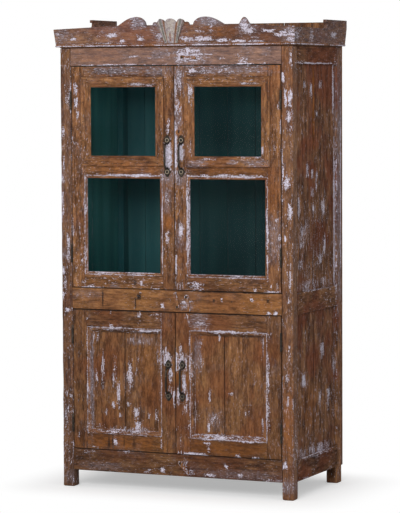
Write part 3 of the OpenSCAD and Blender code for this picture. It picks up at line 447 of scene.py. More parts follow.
UPPER_LEFT_MARKS = {"paint": {
    "hinge stile, streak 1": (73.4, 81.5, 77.4, 94.8, 0.7),
    "hinge stile, streak 2": (74, 97.8, 77.9, 109, 0.8),
    "hinge stile, streak 3": (75.6, 110.8, 78.6, 119.8, 0.75),
    "hinge stile, flake": (70.3, 135.8, 73, 140.4, 0.6),
    "hinge stile, flecks 1": (79.3, 222, 81.2, 246, 0.42),
    "hinge stile, flecks 2": (72.5, 216, 74.2, 253, 0.36), "hinge stile, low 1": (73.8, 264, 77.8, 275, 0.6),
    "hinge stile, low 2": (80, 256, 83.3, 268, 0.6), "hinge stile, low 3": (76.6, 273.5, 79.6, 287, 0.62),
    "low corner": (80, 277, 87, 287, 0.52), "bottom edge flakes": (86, 284, 96.5, 287.4, 0.6),
    "bottom edge line": (77.5, 286.6, 104, 288.6, 0.9), "top bevel": (126, 82.7, 157, 86, 0.52),
    "foot of frame": (86.5, 155, 109, 159.3, 0.42), "right bevel": (156.5, 135.5, 160, 160, 0.46),
    "stile above pull": (166, 118, 169.5, 137, 0.72), "stile behind pull": (164.8, 140, 171.5, 170, 1.15),
    "stile, top streak": (164.4, 76, 167, 82, 0.6), "bead, top": (93, 173.6, 163, 176.8, 0.62),
    "bead, left": (83.8, 171, 88.2, 275, 0.44), "bead, bottom": (85, 270.4, 163.5, 275.2, 0.46),
    "bead, right": (160.6, 176, 163.5, 275, 0.44), "bottom rail fleck": (123, 280, 126.3, 283.6, 0.6),
    "bottom rail flake": (139.8, 279.8, 143.6, 287, 0.66), "bottom rail right": (159, 279, 163, 289.5, 0.5),
    "bottom edge, right": (150, 288.2, 162, 290.3, 0.6), "stile flecks": (164.2, 191, 168.8, 209, 0.4),
    "stile oval": (165, 230, 169.6, 245, 0.72), "stile low": (164.2, 263, 166.7, 288, 0.42),
}, "bloom": {
    "top rail grey, left": (90, 66.5, 143, 74.5, 1.0), "top rail grey, right": (142, 66, 171, 75.5, 0.9),
    "bottom rail haze": (108, 284.5, 120, 289, 0.8), "stile haze": (163, 186, 171, 214, 0.7),
    "below the pulls": (161.5, 169, 174, 185, 1.0),
}, "bare": {
    "stile golden": (163.6, 213, 172.5, 230, 0.8), "cross rail golden": (90, 161, 160, 172, 0.35),
}, "stain": {
    "top rail dark, left": (88, 68, 130, 74, 0.62), "right bevel, dark": (157.5, 142, 159.5, 155, 0.6),
    "bottom rail spot": (133.8, 280.5, 137, 286, 0.8),
}}
UPPER_RIGHT_MARKS = {"paint": {
    "meeting stile, top": (173.5, 66, 182, 113, 0.46),
    "meeting stile, white edge": (173.3, 75, 176.5, 113, 0.62),
    "meeting stile, low white": (175, 100, 181, 113, 0.62),
    "meeting stile, strip": (173.2, 128, 177.6, 178, 1.1), "behind the pull": (177, 143, 184, 161, 0.95),
    "top rail paint": (186.5, 65.5, 226, 74.5, 0.36), "top rail white end": (187, 66, 196, 74.5, 0.62),
    "left bevel, top": (188.4, 84, 192.7, 110.5, 0.62), "left bevel, low": (188.4, 132, 191.8, 156, 0.46),
    "top bevel": (240.5, 81.2, 263.2, 85, 0.55), "foot of frame, left": (201, 157.6, 216, 160.2, 0.6),
    "foot of frame, right": (237, 155.8, 263.2, 160, 0.52), "right bevel": (261, 145.5, 263.7, 155, 0.95),
    "hinge flakes": (277.5, 101.5, 281, 110.5, 0.7), "stile flake": (272.8, 141, 277.5, 151.4, 0.6),
    "stile edge": (279, 117, 282, 134.5, 0.62), "stile speck": (274.5, 131, 277.5, 140, 0.36),
    "pull corner": (187, 167, 192, 178, 0.5), "bead, top": (187, 173.6, 268, 178.4, 0.6),
    "bead, left": (186, 175, 190.4, 278, 0.58), "bead, bottom": (187, 274.4, 268, 278.2, 0.46),
    "bead, right": (265.9, 176, 268.2, 276, 0.62), "meeting edge line": (173.3, 192, 175.8, 252, 0.46),
    "meeting stile, oval": (177.6, 223.5, 183.8, 236.5, 0.62),
    "meeting stile, low streak": (173.8, 252, 177.6, 277, 0.7),
    "meeting stile, corner": (174.3, 278.5, 184.2, 290.2, 0.5),
    "bottom rail, corner": (187, 280.5, 205, 290.2, 0.6),
    "bottom edge flake": (252.8, 288.8, 256.5, 292.2, 0.8), "bottom edge line": (264, 291, 281, 293.2, 0.7),
    "right low corner": (276, 282.5, 281, 292, 0.55), "right low fleck": (270, 284, 272, 288.8, 0.7),
    "hinge stile fleck": (273.3, 217.8, 278, 223.3, 0.5), "hinge stile edge": (278.4, 233, 281, 274, 0.38),
}, "bloom": {
    "meeting stile, haze": (173.5, 68, 184, 90, 1.0), "meeting stile, haze 2": (173.5, 112, 182, 130, 0.9),
    "top rail haze": (186, 65, 266, 74.2, 1.0), "under frame haze, left": (188.5, 160.5, 206, 167.2, 0.9),
    "under frame haze, middle": (229.5, 160, 237.5, 165.2, 0.9),
    "under frame haze, right": (244, 160, 268, 166.5, 1.0),
    "meeting stile, oval haze": (177, 222, 184, 249, 0.9), "hinge stile haze": (267, 219, 282, 262, 0.75),
    "below the pulls": (173.5, 169, 186, 186, 1.0),
}, "bare": {
    "round the hole": (176.2, 128.8, 181.4, 135.4, 0.7), "top rail golden": (259, 64.5, 280.5, 72, 0.9),
    "cross rail red": (190.5, 167, 269, 173.6, 0.55), "hinge stile tan": (269, 185, 279, 218, 0.5),
}, "stain": {
    "old screw hole": (178.1, 130.4, 179.6, 133.6, 1.3),
}}
LOWER_LEFT_MARKS = {"paint": {
    "top edge": (88, 310.6, 109, 313.2, 0.36), "top edge flake 1": (109, 310.8, 111.7, 314.6, 0.9),
    "top edge flake 2": (137.5, 312, 141.4, 318.2, 0.8), "top right flecks": (149.5, 313, 161, 319.5, 0.42),
    "top rail drip": (109, 324, 113.5, 329, 0.8), "moulding, left": (86.5, 326, 89.3, 433, 0.44),
    "moulding, top left": (87, 325.8, 128, 330.4, 0.36),
    "moulding, top right": (128, 329, 162.2, 332.6, 0.66), "moulding, right": (158.6, 331, 162.8, 437, 0.36),
    "moulding, bottom": (87.5, 426, 162.4, 434.4, 0.5), "panel, top left": (91.5, 331, 98, 344, 0.46),
    "panel, streak 1": (100, 348, 103.2, 386, 0.62), "panel, streak 2": (93.9, 366.5, 96.5, 387.3, 0.6),
    "panel, streak 3": (111.4, 352, 115.3, 390, 0.6), "panel, streak 4": (115.6, 380, 119, 409, 0.66),
    "panel, flake 5": (110.2, 401.5, 114.6, 409, 0.8), "panel, flake 6": (103, 407.5, 107, 416.4, 0.7),
    "panel, flake 7": (117.5, 412.5, 120.8, 417.6, 0.95), "panel, streak 8": (126, 353, 131.8, 388.6, 0.56),
    "panel, streak 9": (134.4, 354, 137.8, 380, 0.44), "panel, flake 10": (125.4, 401.5, 129.9, 409, 0.6),
    "panel, flake 11": (132.6, 407.5, 137.8, 420, 0.7), "panel, flake 12": (133.8, 421, 140.2, 431, 0.8),
    "panel, foot flakes": (96, 423, 103, 429, 0.66), "panel, foot line": (92, 417, 122, 420.5, 0.38),
    "panel, spot": (143.5, 412.5, 150, 420, 0.45), "panel, right 1": (153.8, 347, 157.8, 364.4, 0.46),
    "panel, right 2": (153.8, 408.5, 157.2, 421.4, 0.72), "pull, top": (162.6, 350, 171.8, 367, 0.8),
    "pull, spike": (164.4, 345, 166.4, 357, 0.8), "pull, middle": (168.2, 366, 172.6, 383, 0.84),
    "pull, low": (165.4, 386, 173, 400, 0.58), "meeting edge": (172.6, 386.5, 174.8, 407, 0.75),
    "stile, top": (168.3, 322.6, 173.6, 331.8, 0.4), "hinge stile line": (74.4, 379.5, 76.6, 402, 0.42),
    "hinge stile low": (77, 427, 81.4, 441, 0.45), "bottom rail flake": (113.2, 438, 117.8, 445.5, 0.85),
    "bottom rail right": (160, 438, 162.6, 450.3, 0.6), "bottom edge flecks": (89, 444.5, 103, 448.5, 0.42),
}, "bloom": {
    "moulding, inner left": (89.5, 335, 93, 428, 1.0), "panel, top haze": (127, 337, 152, 345, 0.8),
}, "bare": {
    "panel, tan": (138.6, 346, 153.4, 404, 0.35), "bottom rail golden": (74.5, 436.5, 161, 449, 0.9),
}, "stain": {
    # The marks named shade are painted shade under and beside the moulding and under the mid rail
    "panel, dark": (98, 372, 102, 390, 0.5), "panel, shade under the moulding": (91, 329.8, 161, 333.4, 0.7),
    "panel, shade beside the moulding": (90.3, 331, 92.2, 430, 0.5),
    "shade under the mid rail": (72, 309.4, 174, 311.6, 0.8),
    "bottom rail slit 1": (107.8, 435.6, 109.9, 449, 0.8),
    "bottom rail slit 2": (112, 434.4, 113.6, 447.7, 0.8),
    "bottom rail slit 3": (123.6, 436.8, 125, 447.7, 0.7), "bottom rail slit 4": (132.7, 438, 136, 449, 0.6),
}}
LOWER_RIGHT_MARKS = {"paint": {
    "top left flake": (183.6, 314, 188.2, 320.8, 0.62), "top rail patch": (194, 321, 206, 328, 0.5),
    "top rail zigzag": (235, 320.3, 247, 329.5, 0.48),
    "top rail zigzag line": (251.3, 323.4, 266, 333.8, 0.34), "pull, top": (176.4, 352, 188.2, 371.4, 0.72),
    "pull, spike": (179, 345.5, 181.6, 360, 0.85), "pull, left strip": (175.2, 351, 178, 372.6, 0.85),
    "pull, middle": (181.4, 370, 186.2, 393, 0.95), "pull, right strip": (186, 386, 189, 402, 0.62),
    "pull, left low": (176.6, 386, 180.6, 406, 0.85), "pull, low": (181.6, 400.5, 188.9, 414.6, 0.62),
    "stile, low flakes": (173.8, 423, 190, 432, 0.42), "stile, low line": (180, 429, 182.6, 455.6, 0.42),
    "moulding, top": (188.6, 330.4, 266.4, 334.4, 0.62), "moulding, left": (188.4, 331, 192.4, 438.6, 0.46),
    "moulding, bottom": (190, 435, 270, 442.6, 0.58), "moulding, right": (265.6, 336, 269.9, 446, 0.5),
    "panel, left streak": (198.6, 333.5, 203.2, 370, 0.42),
    "panel, top fleck": (217.3, 333.5, 220, 341.2, 0.8), "panel, left low": (192.4, 389, 200, 433.4, 0.42),
    "panel, drip": (207.2, 385.6, 210, 402.3, 0.8), "panel, patch": (208, 412, 221.3, 424, 0.36),
    "panel, white drip": (206, 423, 209.4, 434.4, 0.8), "panel, flecks": (235.8, 403, 253.6, 419.6, 0.38),
    "panel, fleck line": (226, 393, 232.4, 396.6, 0.6),
    "panel, dotted line": (251.4, 363, 254.8, 393.6, 0.4),
    "panel, right top": (260, 337, 263.5, 362.4, 0.62), "panel, right low": (260, 416.6, 263.5, 435.7, 0.45),
    "drip under the panel": (206.4, 441, 210.6, 455.6, 0.66), "drip, head": (201.6, 441, 213, 445.4, 0.62),
    "bottom edge, left": (180, 452.3, 212, 456.4, 0.9), "bottom edge, middle": (234.6, 453, 241, 458, 0.8),
    "bottom edge, right": (249.5, 456, 260, 458.8, 0.6),
}, "bloom": {
    "top rail haze": (190, 313.5, 208, 328, 0.9), "panel, left haze": (193.4, 340, 200, 372, 0.9),
    "panel, patch haze": (206, 411, 222, 430, 0.45),
}, "bare": {
    "orange patch": (175.4, 371.5, 179, 384, 1.0), "orange edge": (185.4, 372, 189.6, 387.2, 0.9),
    "bottom rail red": (190, 443, 267.4, 455.6, 0.9),
}, "stain": {
    "panel, dark": (226, 362, 262, 434, 0.18),
    # The marks named shade are painted shade under and beside the moulding and under the mid rail
    "panel, shade under the moulding": (191, 333.4, 268, 337, 0.7),
    "panel, shade beside the moulding": (192, 336, 194, 436, 0.5),
    "shade under the mid rail": (174, 313, 282, 315.2, 0.8),
}}
SIDE_MARKS = {"paint": {
    "under the top rail": (296, 62.4, 334, 64, 0.72), "panel, scratch 1": (305, 81, 308, 88.2, 0.56),
    "panel, scratch 2": (311, 82.3, 314.6, 98, 0.56), "panel, scratch 3": (320.5, 79, 324, 89, 0.46),
    "panel, fleck 4": (317.6, 110, 320, 116, 0.6), "panel, streak 5": (308, 162.4, 311, 178, 0.56),
    "panel, streak 6": (312.9, 169.4, 315.3, 179.4, 0.56),
    "panel, streak 7": (317, 170.8, 319.4, 193.3, 0.5),
    "panel, streak 8": (312.2, 187.3, 315.8, 197.4, 0.56),
    "panel, streak 9": (299.8, 195.6, 302.2, 219.5, 0.6),
    "panel, streak 10": (314.3, 205.3, 316.5, 211, 0.6),
    "panel, streak 11": (323.2, 198.4, 326.8, 217, 0.56), "panel, patch 12": (302, 222, 309.8, 239.4, 0.5),
    "panel, patch 13": (301.6, 241, 307, 249.5, 0.5), "panel, patch 14": (299.7, 259, 306, 271, 0.5),
    "panel, patch 15": (318.4, 253, 324.7, 265.2, 0.56), "panel, streak 16": (324.3, 232, 328, 256, 0.54),
    "panel, foot": (296, 278, 334.4, 289.6, 0.48), "panel, foot line": (300, 287.6, 334, 290.6, 0.5),
    "panel, low flecks": (297, 200, 333, 288, 0.32), "rear line, top": (334, 63, 335.6, 118.6, 0.85),
    "rear line, low": (335.2, 150, 336.8, 290, 0.95), "rear post, outer edge": (340, 63, 343, 300, 0.5),
    "mid rail flakes": (320, 294, 333.6, 303, 0.3),
    "low panel, streak 1": (303.6, 373.5, 307.8, 387.6, 0.66),
    "low panel, streak 2": (321.8, 342, 326.6, 360, 0.5),
    "low panel, streak 3": (328.6, 387.3, 332.2, 409.4, 0.58),
    "low panel, streak 4": (319.8, 389.4, 323.2, 405.4, 0.5),
    "low panel, foot": (297.8, 444, 336, 457, 0.48), "low panel, rear line": (334.2, 310, 337.4, 443, 0.42),
    "low panel, front line": (293, 397, 298, 472.6, 0.45),
    "base rail, foot": (297.8, 472, 329.4, 484.4, 0.4),
}, "bloom": {
    "rear post, haze": (336, 65, 343, 300, 1.0),
}, "bare": {
    "joint of the boards": (314.3, 71, 316.5, 141, 1.2), "tan middle": (305, 385, 318, 430, 0.4),
}, "stain": {
    "panel, low stain": (298, 190, 334, 288, 0.22),
}}
MARK_KINDS = ("paint", "bloom", "bare", "stain")
MARK_DEPTH = 0.05
# How far a mark's outline bends and frays, and the part of its size over which it fades
MARK_BEND = 0.012
MARK_FRAY = 4.2
MARK_FADE = (0.45, 1.4)


def mark_box(left, top, right, bottom, axis, level):
    """Middle and half-sizes, on a plane of the case, of a mark given by its pixels."""
    across, down = (left + right) / 2, (top + bottom) / 2
    sides = [on_plane(u, down, axis, level) for u in (left, right)]
    ends = [on_plane(across, v, axis, level) for v in (top, bottom)]
    middle = (sides[0] + sides[1]) / 2
    middle.z = (ends[0].z + ends[1].z) / 2
    half = [MARK_DEPTH, MARK_DEPTH, (ends[0].z - ends[1].z) / 2]
    half[1 - axis] = abs(sides[1][1 - axis] - sides[0][1 - axis]) / 2
    return middle, half


def build_mark(s, given):
    """One mark: its strength over its box, fading across its ragged edge."""
    reach = s.vector("DIVIDE", s.vector("SUBTRACT", given["Place"], given["Middle"]), given["Size"])
    away = s.math("SQRT", s.vector("LENGTH", s.vector("MULTIPLY", reach, reach)))
    return {"Mask": s.step(s.plus(away, given["Wobble"]), *MARK_FADE, given["Strength"], 0.0)}


MARK = effect("wear_mark",
              {"Place": ("Vector", None), "Wobble": ("Float", 0.0), "Middle": ("Vector", None),
               "Size": ("Vector", None), "Strength": ("Float", 1.0)}, {"Mask": "Float"}, build_mark)


def marks_group(name, front=None, front_y=FRONT_Y, side=None):
    """All the marks of one part of the cabinet. Those of the right side are mirrored on the left."""
    def build(s, given):
        place = s.here()
        bend = s.vector("SUBTRACT", s.noise(place, "mark bend", "Color"), (0.5, 0.5, 0.5))
        warped = s.vector("ADD", place, s.scaled(bend, MARK_BEND))
        across, deep, up = s.parts(warped)
        mirrored = s.add("CombineXYZ", {0: s.unsigned(across), 1: deep, 2: up}).outputs[0]
        along = s.noise(s.place(GRAIN)["Short"], "mark edge along")
        rough = s.blend((s.noise(place, "mark edge"), 0.4), (along, 0.6))
        wobble = s.times(s.minus(rough, 0.5), MARK_FRAY)
        totals = {}
        for marks, axis, level, spot in ((front, 1, front_y, warped), (side, 0, CASE_RIGHT, mirrored)):
            for kind, places in (marks or {}).items():
                for *pixels, strength in places.values():
                    middle, half = mark_box(*pixels, axis, level)
                    mask = s.place(MARK, Place=spot, Wobble=wobble, Middle=middle, Size=half,
                                   Strength=strength)["Mask"]
                    totals[kind] = s.most(totals[kind], mask) if kind in totals else mask
        nothing = s.times(wobble, 0.0)
        return {kind.capitalize(): totals.get(kind, nothing) for kind in MARK_KINDS}
    return effect(name, {}, {kind.capitalize(): "Float" for kind in MARK_KINDS}, build)


# The crest board leans, so its marks are read on a level plane a little behind its front
CREST_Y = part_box("crest_board")[0][1] + 0.004
CREST_WEAR = marks_group("wear_of_crest", CREST_MARKS, CREST_Y, CREST_SIDE_MARKS)
TOP_RAIL_WEAR = marks_group("wear_of_top_rail", TOP_RAIL_MARKS)
MID_RAIL_WEAR = marks_group("wear_of_mid_rail", MID_RAIL_MARKS)
BASE_RAIL_WEAR = marks_group("wear_of_base_rail", BASE_RAIL_MARKS)
POST_WEAR = marks_group("wear_of_posts", POST_MARKS, side=SIDE_MARKS)
SIDE_WEAR = marks_group("wear_of_sides", side=SIDE_MARKS)
DOOR_MARKS = {"upper_left": UPPER_LEFT_MARKS, "upper_right": UPPER_RIGHT_MARKS,
              "lower_left": LOWER_LEFT_MARKS, "lower_right": LOWER_RIGHT_MARKS}
DOOR_WEAR = {door: marks_group("wear_of_%s_door" % door, marks) for door, marks in DOOR_MARKS.items()}

INSIDE_SKIN = 0.0006
# How far the paint ran into the gaps between the planks
PAINTED_GAP = 0.010


def build_inside(s, given):
    """1 on the faces that bound the space inside the case."""
    across, deep, up = s.parts(s.here())
    return {"Mask": s.times(s.math("LESS_THAN", s.unsigned(across), PANEL_LO[0] + INSIDE_SKIN),
                            s.math("GREATER_THAN", deep, FLOOR_LO[1] - INSIDE_SKIN),
                            s.math("LESS_THAN", deep, PLANK_LO[1] + PAINTED_GAP),
                            s.math("GREATER_THAN", up, FLOOR_HI[2] - INSIDE_SKIN),
                            s.math("LESS_THAN", up, CASE_TOP + INSIDE_SKIN))}


INSIDE = effect("inside_of_case", {}, {"Mask": "Float"}, build_inside)

# Noise is pulled out upright by these
BRUSHED_TEAL, BRUSHED_GLASS = (1.0, 1.0, 0.05), (1.0, 1.0, 0.12)
# Painted light and shade on the teal paint: how much paler or darker it is made to the left and right
# of the middle, and at the lower and upper of two heights in each compartment
FADED_HALF, FADED_ACROSS = 0.45, 0.42
UPPER_HEIGHTS, FADED_UPPER = (1.42, 1.72), (-0.42, 0.98)
LOWER_HEIGHTS, FADED_LOWER = (0.85, 1.25), (-0.62, -0.10)
FADED_LEAST = 0.34


def build_teal(s, given):
    """Brushed dark teal paint, with painted light and shade across it and up each compartment."""
    place = s.here()
    spot = s.parts(place)
    streaks = s.noise(s.vector("MULTIPLY", place, BRUSHED_TEAL), "teal streaks")
    clouds = s.noise(place, "teal clouds")
    # Painted light: the teal turns paler, towards the pale wall teal, as far as the light input asks
    dark = s.cover(TEAL_DARK, TEAL_WALL, given["Light"], 0.55)
    light = s.cover(TEAL_LIGHT, TEAL_WALL, given["Light"])
    colour = s.cover(dark, light, s.step(s.blend((streaks, 0.6), (clouds, 0.4)), 0.38, 0.62))
    above = s.math("GREATER_THAN", spot[2], UPPER_SHELF_TOP)
    below = s.math("LESS_THAN", spot[2], UPPER_SHELF_TOP)
    # Painted light and shade: the teal is made paler or darker by its place across and up the case
    faded = s.plus(1.0, s.step(spot[0], -FADED_HALF, FADED_HALF, FADED_ACROSS, -FADED_ACROSS),
                   s.times(s.step(spot[2], *UPPER_HEIGHTS, *FADED_UPPER), above),
                   s.times(s.step(spot[2], *LOWER_HEIGHTS, *FADED_LOWER), below))
    return {"Colour": s.shaded(colour, s.most(FADED_LEAST, faded)), "Height": streaks}


TEAL = effect("teal_paint", {"Light": ("Float", 0.0)}, {"Colour": "Color", "Height": "Float"}, build_teal)


# Materials
def material(name):
    """A new material with an empty tree, and what adds nodes to it."""
    finish = bpy.data.materials.new(name)
    finish.use_nodes = True
    finish.node_tree.nodes.clear()
    return finish, Shader(finish.node_tree)


def finish_with(s, values, height=None, depth=0.0, strength=0.0):
    """Ends a material with a Principled BSDF and, where there is a height, a bump."""
    bsdf = s.add("BsdfPrincipled", values)
    if height is not None:
        bump = s.add("Bump", {"Height": height, "Distance": depth, "Strength": strength})
        s.feed(bsdf.inputs["Normal"], bump.outputs["Normal"])
    s.end("Material", bsdf.outputs["BSDF"])


# Levels of the noises between which a change takes place. The grain's tone goes from dark to middle
# to light wood, broad patches turn red or lose their gold, and dark fibres and bare wood show
DARK_TO_MID = (0.42, 0.505)
MID_TO_LIGHT = (0.505, 0.585)
RED_PATCH = (0.46, 0.62)
GOLD_PATCH = (0.34, 0.56)
DARK_FIBRE = (0.44, 0.66)
BARE_GRAIN = (0.40, 0.58)
MOTTLED = (0.34, 0.66)
BLOOM_STARTS, BLOOM_FULL = 0.52, 0.72
# Speckles: grey grains and deep pits in the bloom, small pits everywhere, dust in broad patches
GREY_SPECKLE = (0.40, 0.58)
DEEP_PIT = (0.30, 0.43)
SMALL_PIT = (0.31, 0.41)
DUST_PATCH = (0.38, 0.56)
DUST_SPECKLE = (0.59, 0.66)
PALE_CHIP = (0.34, 0.60)
# Least and greatest light by height above the floor, by board, and by mottle in a board of blotch 1
LIT_HEIGHTS, LIT_BY_HEIGHT = (0.1, 1.75), (0.92, 1.04)
LIT_BY_BOARD = (0.94, 1.06)
DARK_BLOTCH, LIGHT_BLOTCH = 0.34, 0.26
# Share of a painted band's half-height over which its paint is whole
BAND_WHOLE = 0.6
# What grey bloom adds to the hold of paint, and what bare wood takes from it
BLOOM_HOLD = 0.045
BARE_HOLD = -0.04


def wood_colour(s, grain, level, broad, bare, redness, veil, blotch):
    """Brown wood by its grain, golden, red or veiled with grey, lit by its board, height and mottle."""
    tone = grain["Tone"]
    brown = s.cover(WOOD_DARK, WOOD_MID, s.step(tone, *DARK_TO_MID))
    brown = s.cover(brown, WOOD_LIGHT, s.step(tone, *MID_TO_LIGHT))
    brown = s.cover(brown, WOOD_RED, s.step(broad, *RED_PATCH, 0.0, redness))
    brown = s.cover(brown, WOOD_GOLD, s.attribute("board_gold"), s.step(broad, *GOLD_PATCH, 1.0, 0.35))
    brown = s.cover(brown, WOOD_DARK, s.step(grain["Fibre"], *DARK_FIBRE, 0.0, 0.40))
    if veil:
        brown = s.cover(brown, WOOD_GREY, veil)
    if bare is not None:
        brown = s.cover(brown, WOOD_BARE, bare, s.step(tone, *BARE_GRAIN, 0.4, 0.9))
    seeded = s.add("TexWhiteNoise", {"W": grain["Seed"]}, noise_dimensions="1D").outputs["Value"]
    mottled = s.step(grain["Mottle"], *MOTTLED, 1.0 - DARK_BLOTCH * blotch, 1.0 + LIGHT_BLOTCH * blotch)
    lit = s.times(s.attribute("board_tint"), s.step(level, *LIT_HEIGHTS, *LIT_BY_HEIGHT),
                  s.step(seeded, 0.0, 1.0, *LIT_BY_BOARD), mottled)
    return s.shaded(brown, lit)


def weathered(s, brown, bloom, speckle, broad, seam, dust):
    """Grey bloom, dark pits and pale dust on brown wood, with dirt and painted shade in the seams of its
    boards.
    """
    colour = s.cover(brown, WOOD_GREY, bloom, s.step(speckle, *GREY_SPECKLE, 0.25, 0.85))
    colour = s.cover(colour, CRACK_DARK, bloom, s.step(speckle, *DEEP_PIT, 0.6, 0.0))
    colour = s.cover(colour, CRACK_DARK, s.step(speckle, *SMALL_PIT, 0.55, 0.0))
    dusting = s.most(bloom, s.step(broad, *DUST_PATCH, dust, 0.2 * dust))
    colour = s.cover(colour, PAINT_PALE, dusting, s.step(speckle, *DUST_SPECKLE))
    # Dirt and painted shade in the seams
    return s.cover(colour, CRACK_DARK, seam, 0.75)


def painted_over(s, colour, held, crack):
    """What is left of the pale paint, with a dark rim, and cracks through both."""
    pale = s.cover(PAINT_GREY, PAINT_PALE, s.step(held["Tone"], *PALE_CHIP))
    colour = s.cover(colour, RIM_DARK, held["Rim"], 0.6)
    colour = s.cover(colour, pale, held["Mask"])
    return s.cover(colour, CRACK_DARK, crack, 0.75)


def old_wood(name, wear=None, paint=0.3, edge_paint=0.05, edge_width=0.005, ragged=0.012, redness=0.35,
             grey=0.25, haze=0.0, veil=0.0, dust=0.7, hold=0.235, fineness=1.0, blotch=1.0, gloss=0.16,
             inside=None, bands=()):
    """Worn brown wood with flakes of pale paint, a grey bloom, marks of wear and fine cracks.
    Bands are level lines of held paint: height, half-height and strength."""
    finish, s = material(name)
    grain = s.place(GRAIN, Fineness=fineness)
    place = s.here()
    level = s.parts(place)[2]
    broad = s.noise(place, "broad")
    speckle = s.noise(grain["Short"], "speckle")
    edges = s.place(EDGES, Width=edge_width, Ragged=ragged)
    marks = s.place(wear) if wear else None

    brown = wood_colour(s, grain, level, broad, marks["Bare"] if marks else None, redness, veil, blotch)
    bloom = s.step(s.noise(place, "bloom"), BLOOM_STARTS - 0.1 * haze, BLOOM_FULL, haze, max(grey, haze))
    bias = s.times(edges["Edge"], edge_paint)
    for height, half, strength in bands:
        away = s.unsigned(s.minus(level, height))
        bias = s.plus(bias, s.step(away, BAND_WHOLE * half, half, strength, 0.0))
    if marks:
        # Darkened by the dark marks: stains, and painted shade where the marks are named shade
        brown = s.cover(brown, CRACK_DARK, marks["Stain"])
        bloom = s.most(bloom, marks["Bloom"])
        bias = s.plus(bias, s.blend((marks["Paint"], hold), (marks["Bare"], BARE_HOLD)))
    bias = s.plus(bias, s.times(bloom, BLOOM_HOLD))
    held = s.place(PAINT, Along=s.place(GRAIN)["Along"], Bias=bias, Amount=paint)
    colour = weathered(s, brown, bloom, speckle, broad, edges["Seam"], dust)
    colour = painted_over(s, colour, held, grain["Crack"])

    rough = s.plus(s.times(grain["Fibre"], 0.25), 0.55)
    height = s.blend((grain["Fibre"], 0.30), (grain["Mottle"], 0.5), (held["Mask"], 0.5),
                     (grain["Crack"], -0.8))
    # Inner faces take the teal paint, and inside says how much painted light that teal carries
    if inside is not None:
        skin = s.place(INSIDE)["Mask"]
        colour = s.cover(colour, s.place(TEAL, Light=inside)["Colour"], skin)
        rough = s.plus(s.times(s.minus(0.5, rough), skin), rough)
    finish_with(s, {"Base Color": colour, "Roughness": rough, "Specular IOR Level": gloss}, height,
                0.0008, 0.7)
    return finish


def teal_board():
    """The teal paint on shelves and floors, worn to dark wood at the edges."""
    finish, s = material("teal_painted_board")
    teal = s.place(TEAL)
    edge = s.place(EDGES, Width=0.004, Ragged=0.006)["Edge"]
    colour = s.cover(teal["Colour"], WOOD_DARK, edge, 0.5)
    rough = s.step(teal["Height"], 0.3, 0.7, 0.45, 0.6)
    finish_with(s, {"Base Color": colour, "Roughness": rough, "Specular IOR Level": 0.3}, teal["Height"],
                0.0004, 0.6)
    return finish


# Half the shell's width at its foot, what it gains up to its top, and where its carving lies:
# shares of that half-width, and of the shell's height for the stripe in the middle
SHELL_FOOT_HALF, SHELL_GAIN = 0.028, 0.032
SHELL_GROOVE = (0.43, 0.49, 0.58, 0.65)
SHELL_HOLLOW = (0.66, 0.72, 0.84, 0.92)
SHELL_RIM = (0.92, 1.02)
STRIPE_HALF, STRIPE_HEIGHTS = (0.002, 0.005), (0.05, 0.12, 0.36, 0.46)


def shell_paint():
    """Chalky grey petals, green-grey in the hollows, brown where the carving is deep."""
    finish, s = material("carved_shell_paint")
    place = s.here()
    across, deep, level = s.parts(place)
    up = s.math("DIVIDE", s.minus(level, SHELL_LO[2]), SHELL_HI[2] - SHELL_LO[2])
    out = s.unsigned(s.minus(across, (SHELL_LO[0] + SHELL_HI[0]) / 2))
    spread = s.math("DIVIDE", out, s.plus(s.times(up, SHELL_GAIN), SHELL_FOOT_HALF))
    chips = s.noise(place, "petal chips")
    colour = s.cover(PAINT_GREY, PETAL_PALE, s.step(s.noise(place, "petal clouds"), 0.40, 0.60))
    colour = s.cover(colour, PETAL_GREEN, s.hump(spread, *SHELL_HOLLOW), 0.85)
    colour = s.cover(colour, WOOD_MID, s.hump(spread, *SHELL_GROOVE), 0.9)
    colour = s.cover(colour, WOOD_DARK, s.step(spread, *SHELL_RIM, 0.0, 0.6))
    colour = s.cover(colour, WOOD_RED, s.step(out, *STRIPE_HALF, 1.0, 0.0), s.hump(up, *STRIPE_HEIGHTS), 0.8)
    colour = s.cover(colour, CRACK_DARK, s.step(chips, 0.34, 0.44, 0.8, 0.0))
    colour = s.cover(colour, PAINT_PALE, s.step(chips, 0.60, 0.68, 0.0, 0.8))
    finish_with(s, {"Base Color": colour, "Roughness": s.step(chips, 0.3, 0.7, 0.6, 0.8),
                    "Specular IOR Level": 0.2}, chips, 0.0008, 0.8)
    return finish


def old_iron(name, dark, rust_share, shine, chalk=0.7):
    """Pitted iron with rust, and with chalk from old paint in its pits."""
    finish, s = material(name)
    place = s.here()
    pits = s.noise(place, "iron pits")
    rust = s.step(s.noise(place, "rust"), 0.5, 0.68)
    colour = s.cover(dark, IRON_RUST, rust, rust_share)
    colour = s.cover(colour, PAINT_GREY, s.step(pits, 0.62, 0.74, 0.0, chalk))
    rough = s.plus(s.times(rust, 0.25), 0.5)
    metallic = s.step(rust, 0.0, 1.0, shine, 0.1)
    finish_with(s, {"Base Color": colour, "Roughness": rough, "Metallic": metallic,
                    "Specular IOR Level": 0.4}, pits, 0.0006, 0.8)
    return finish


def window_glass():
    """Clear panes, a little dusty in upright streaks."""
    finish, s = material("clear_glass")
    dust = s.noise(s.vector("MULTIPLY", s.here(), BRUSHED_GLASS), "glass dust")
    finish_with(s, {"Base Color": GLASS_TINT, "Alpha": 0.04, "Transmission Weight": 1.0, "IOR": 1.45,
                    "Roughness": s.step(dust, 0.35, 0.7, 0.0, 0.06)})
    return finish


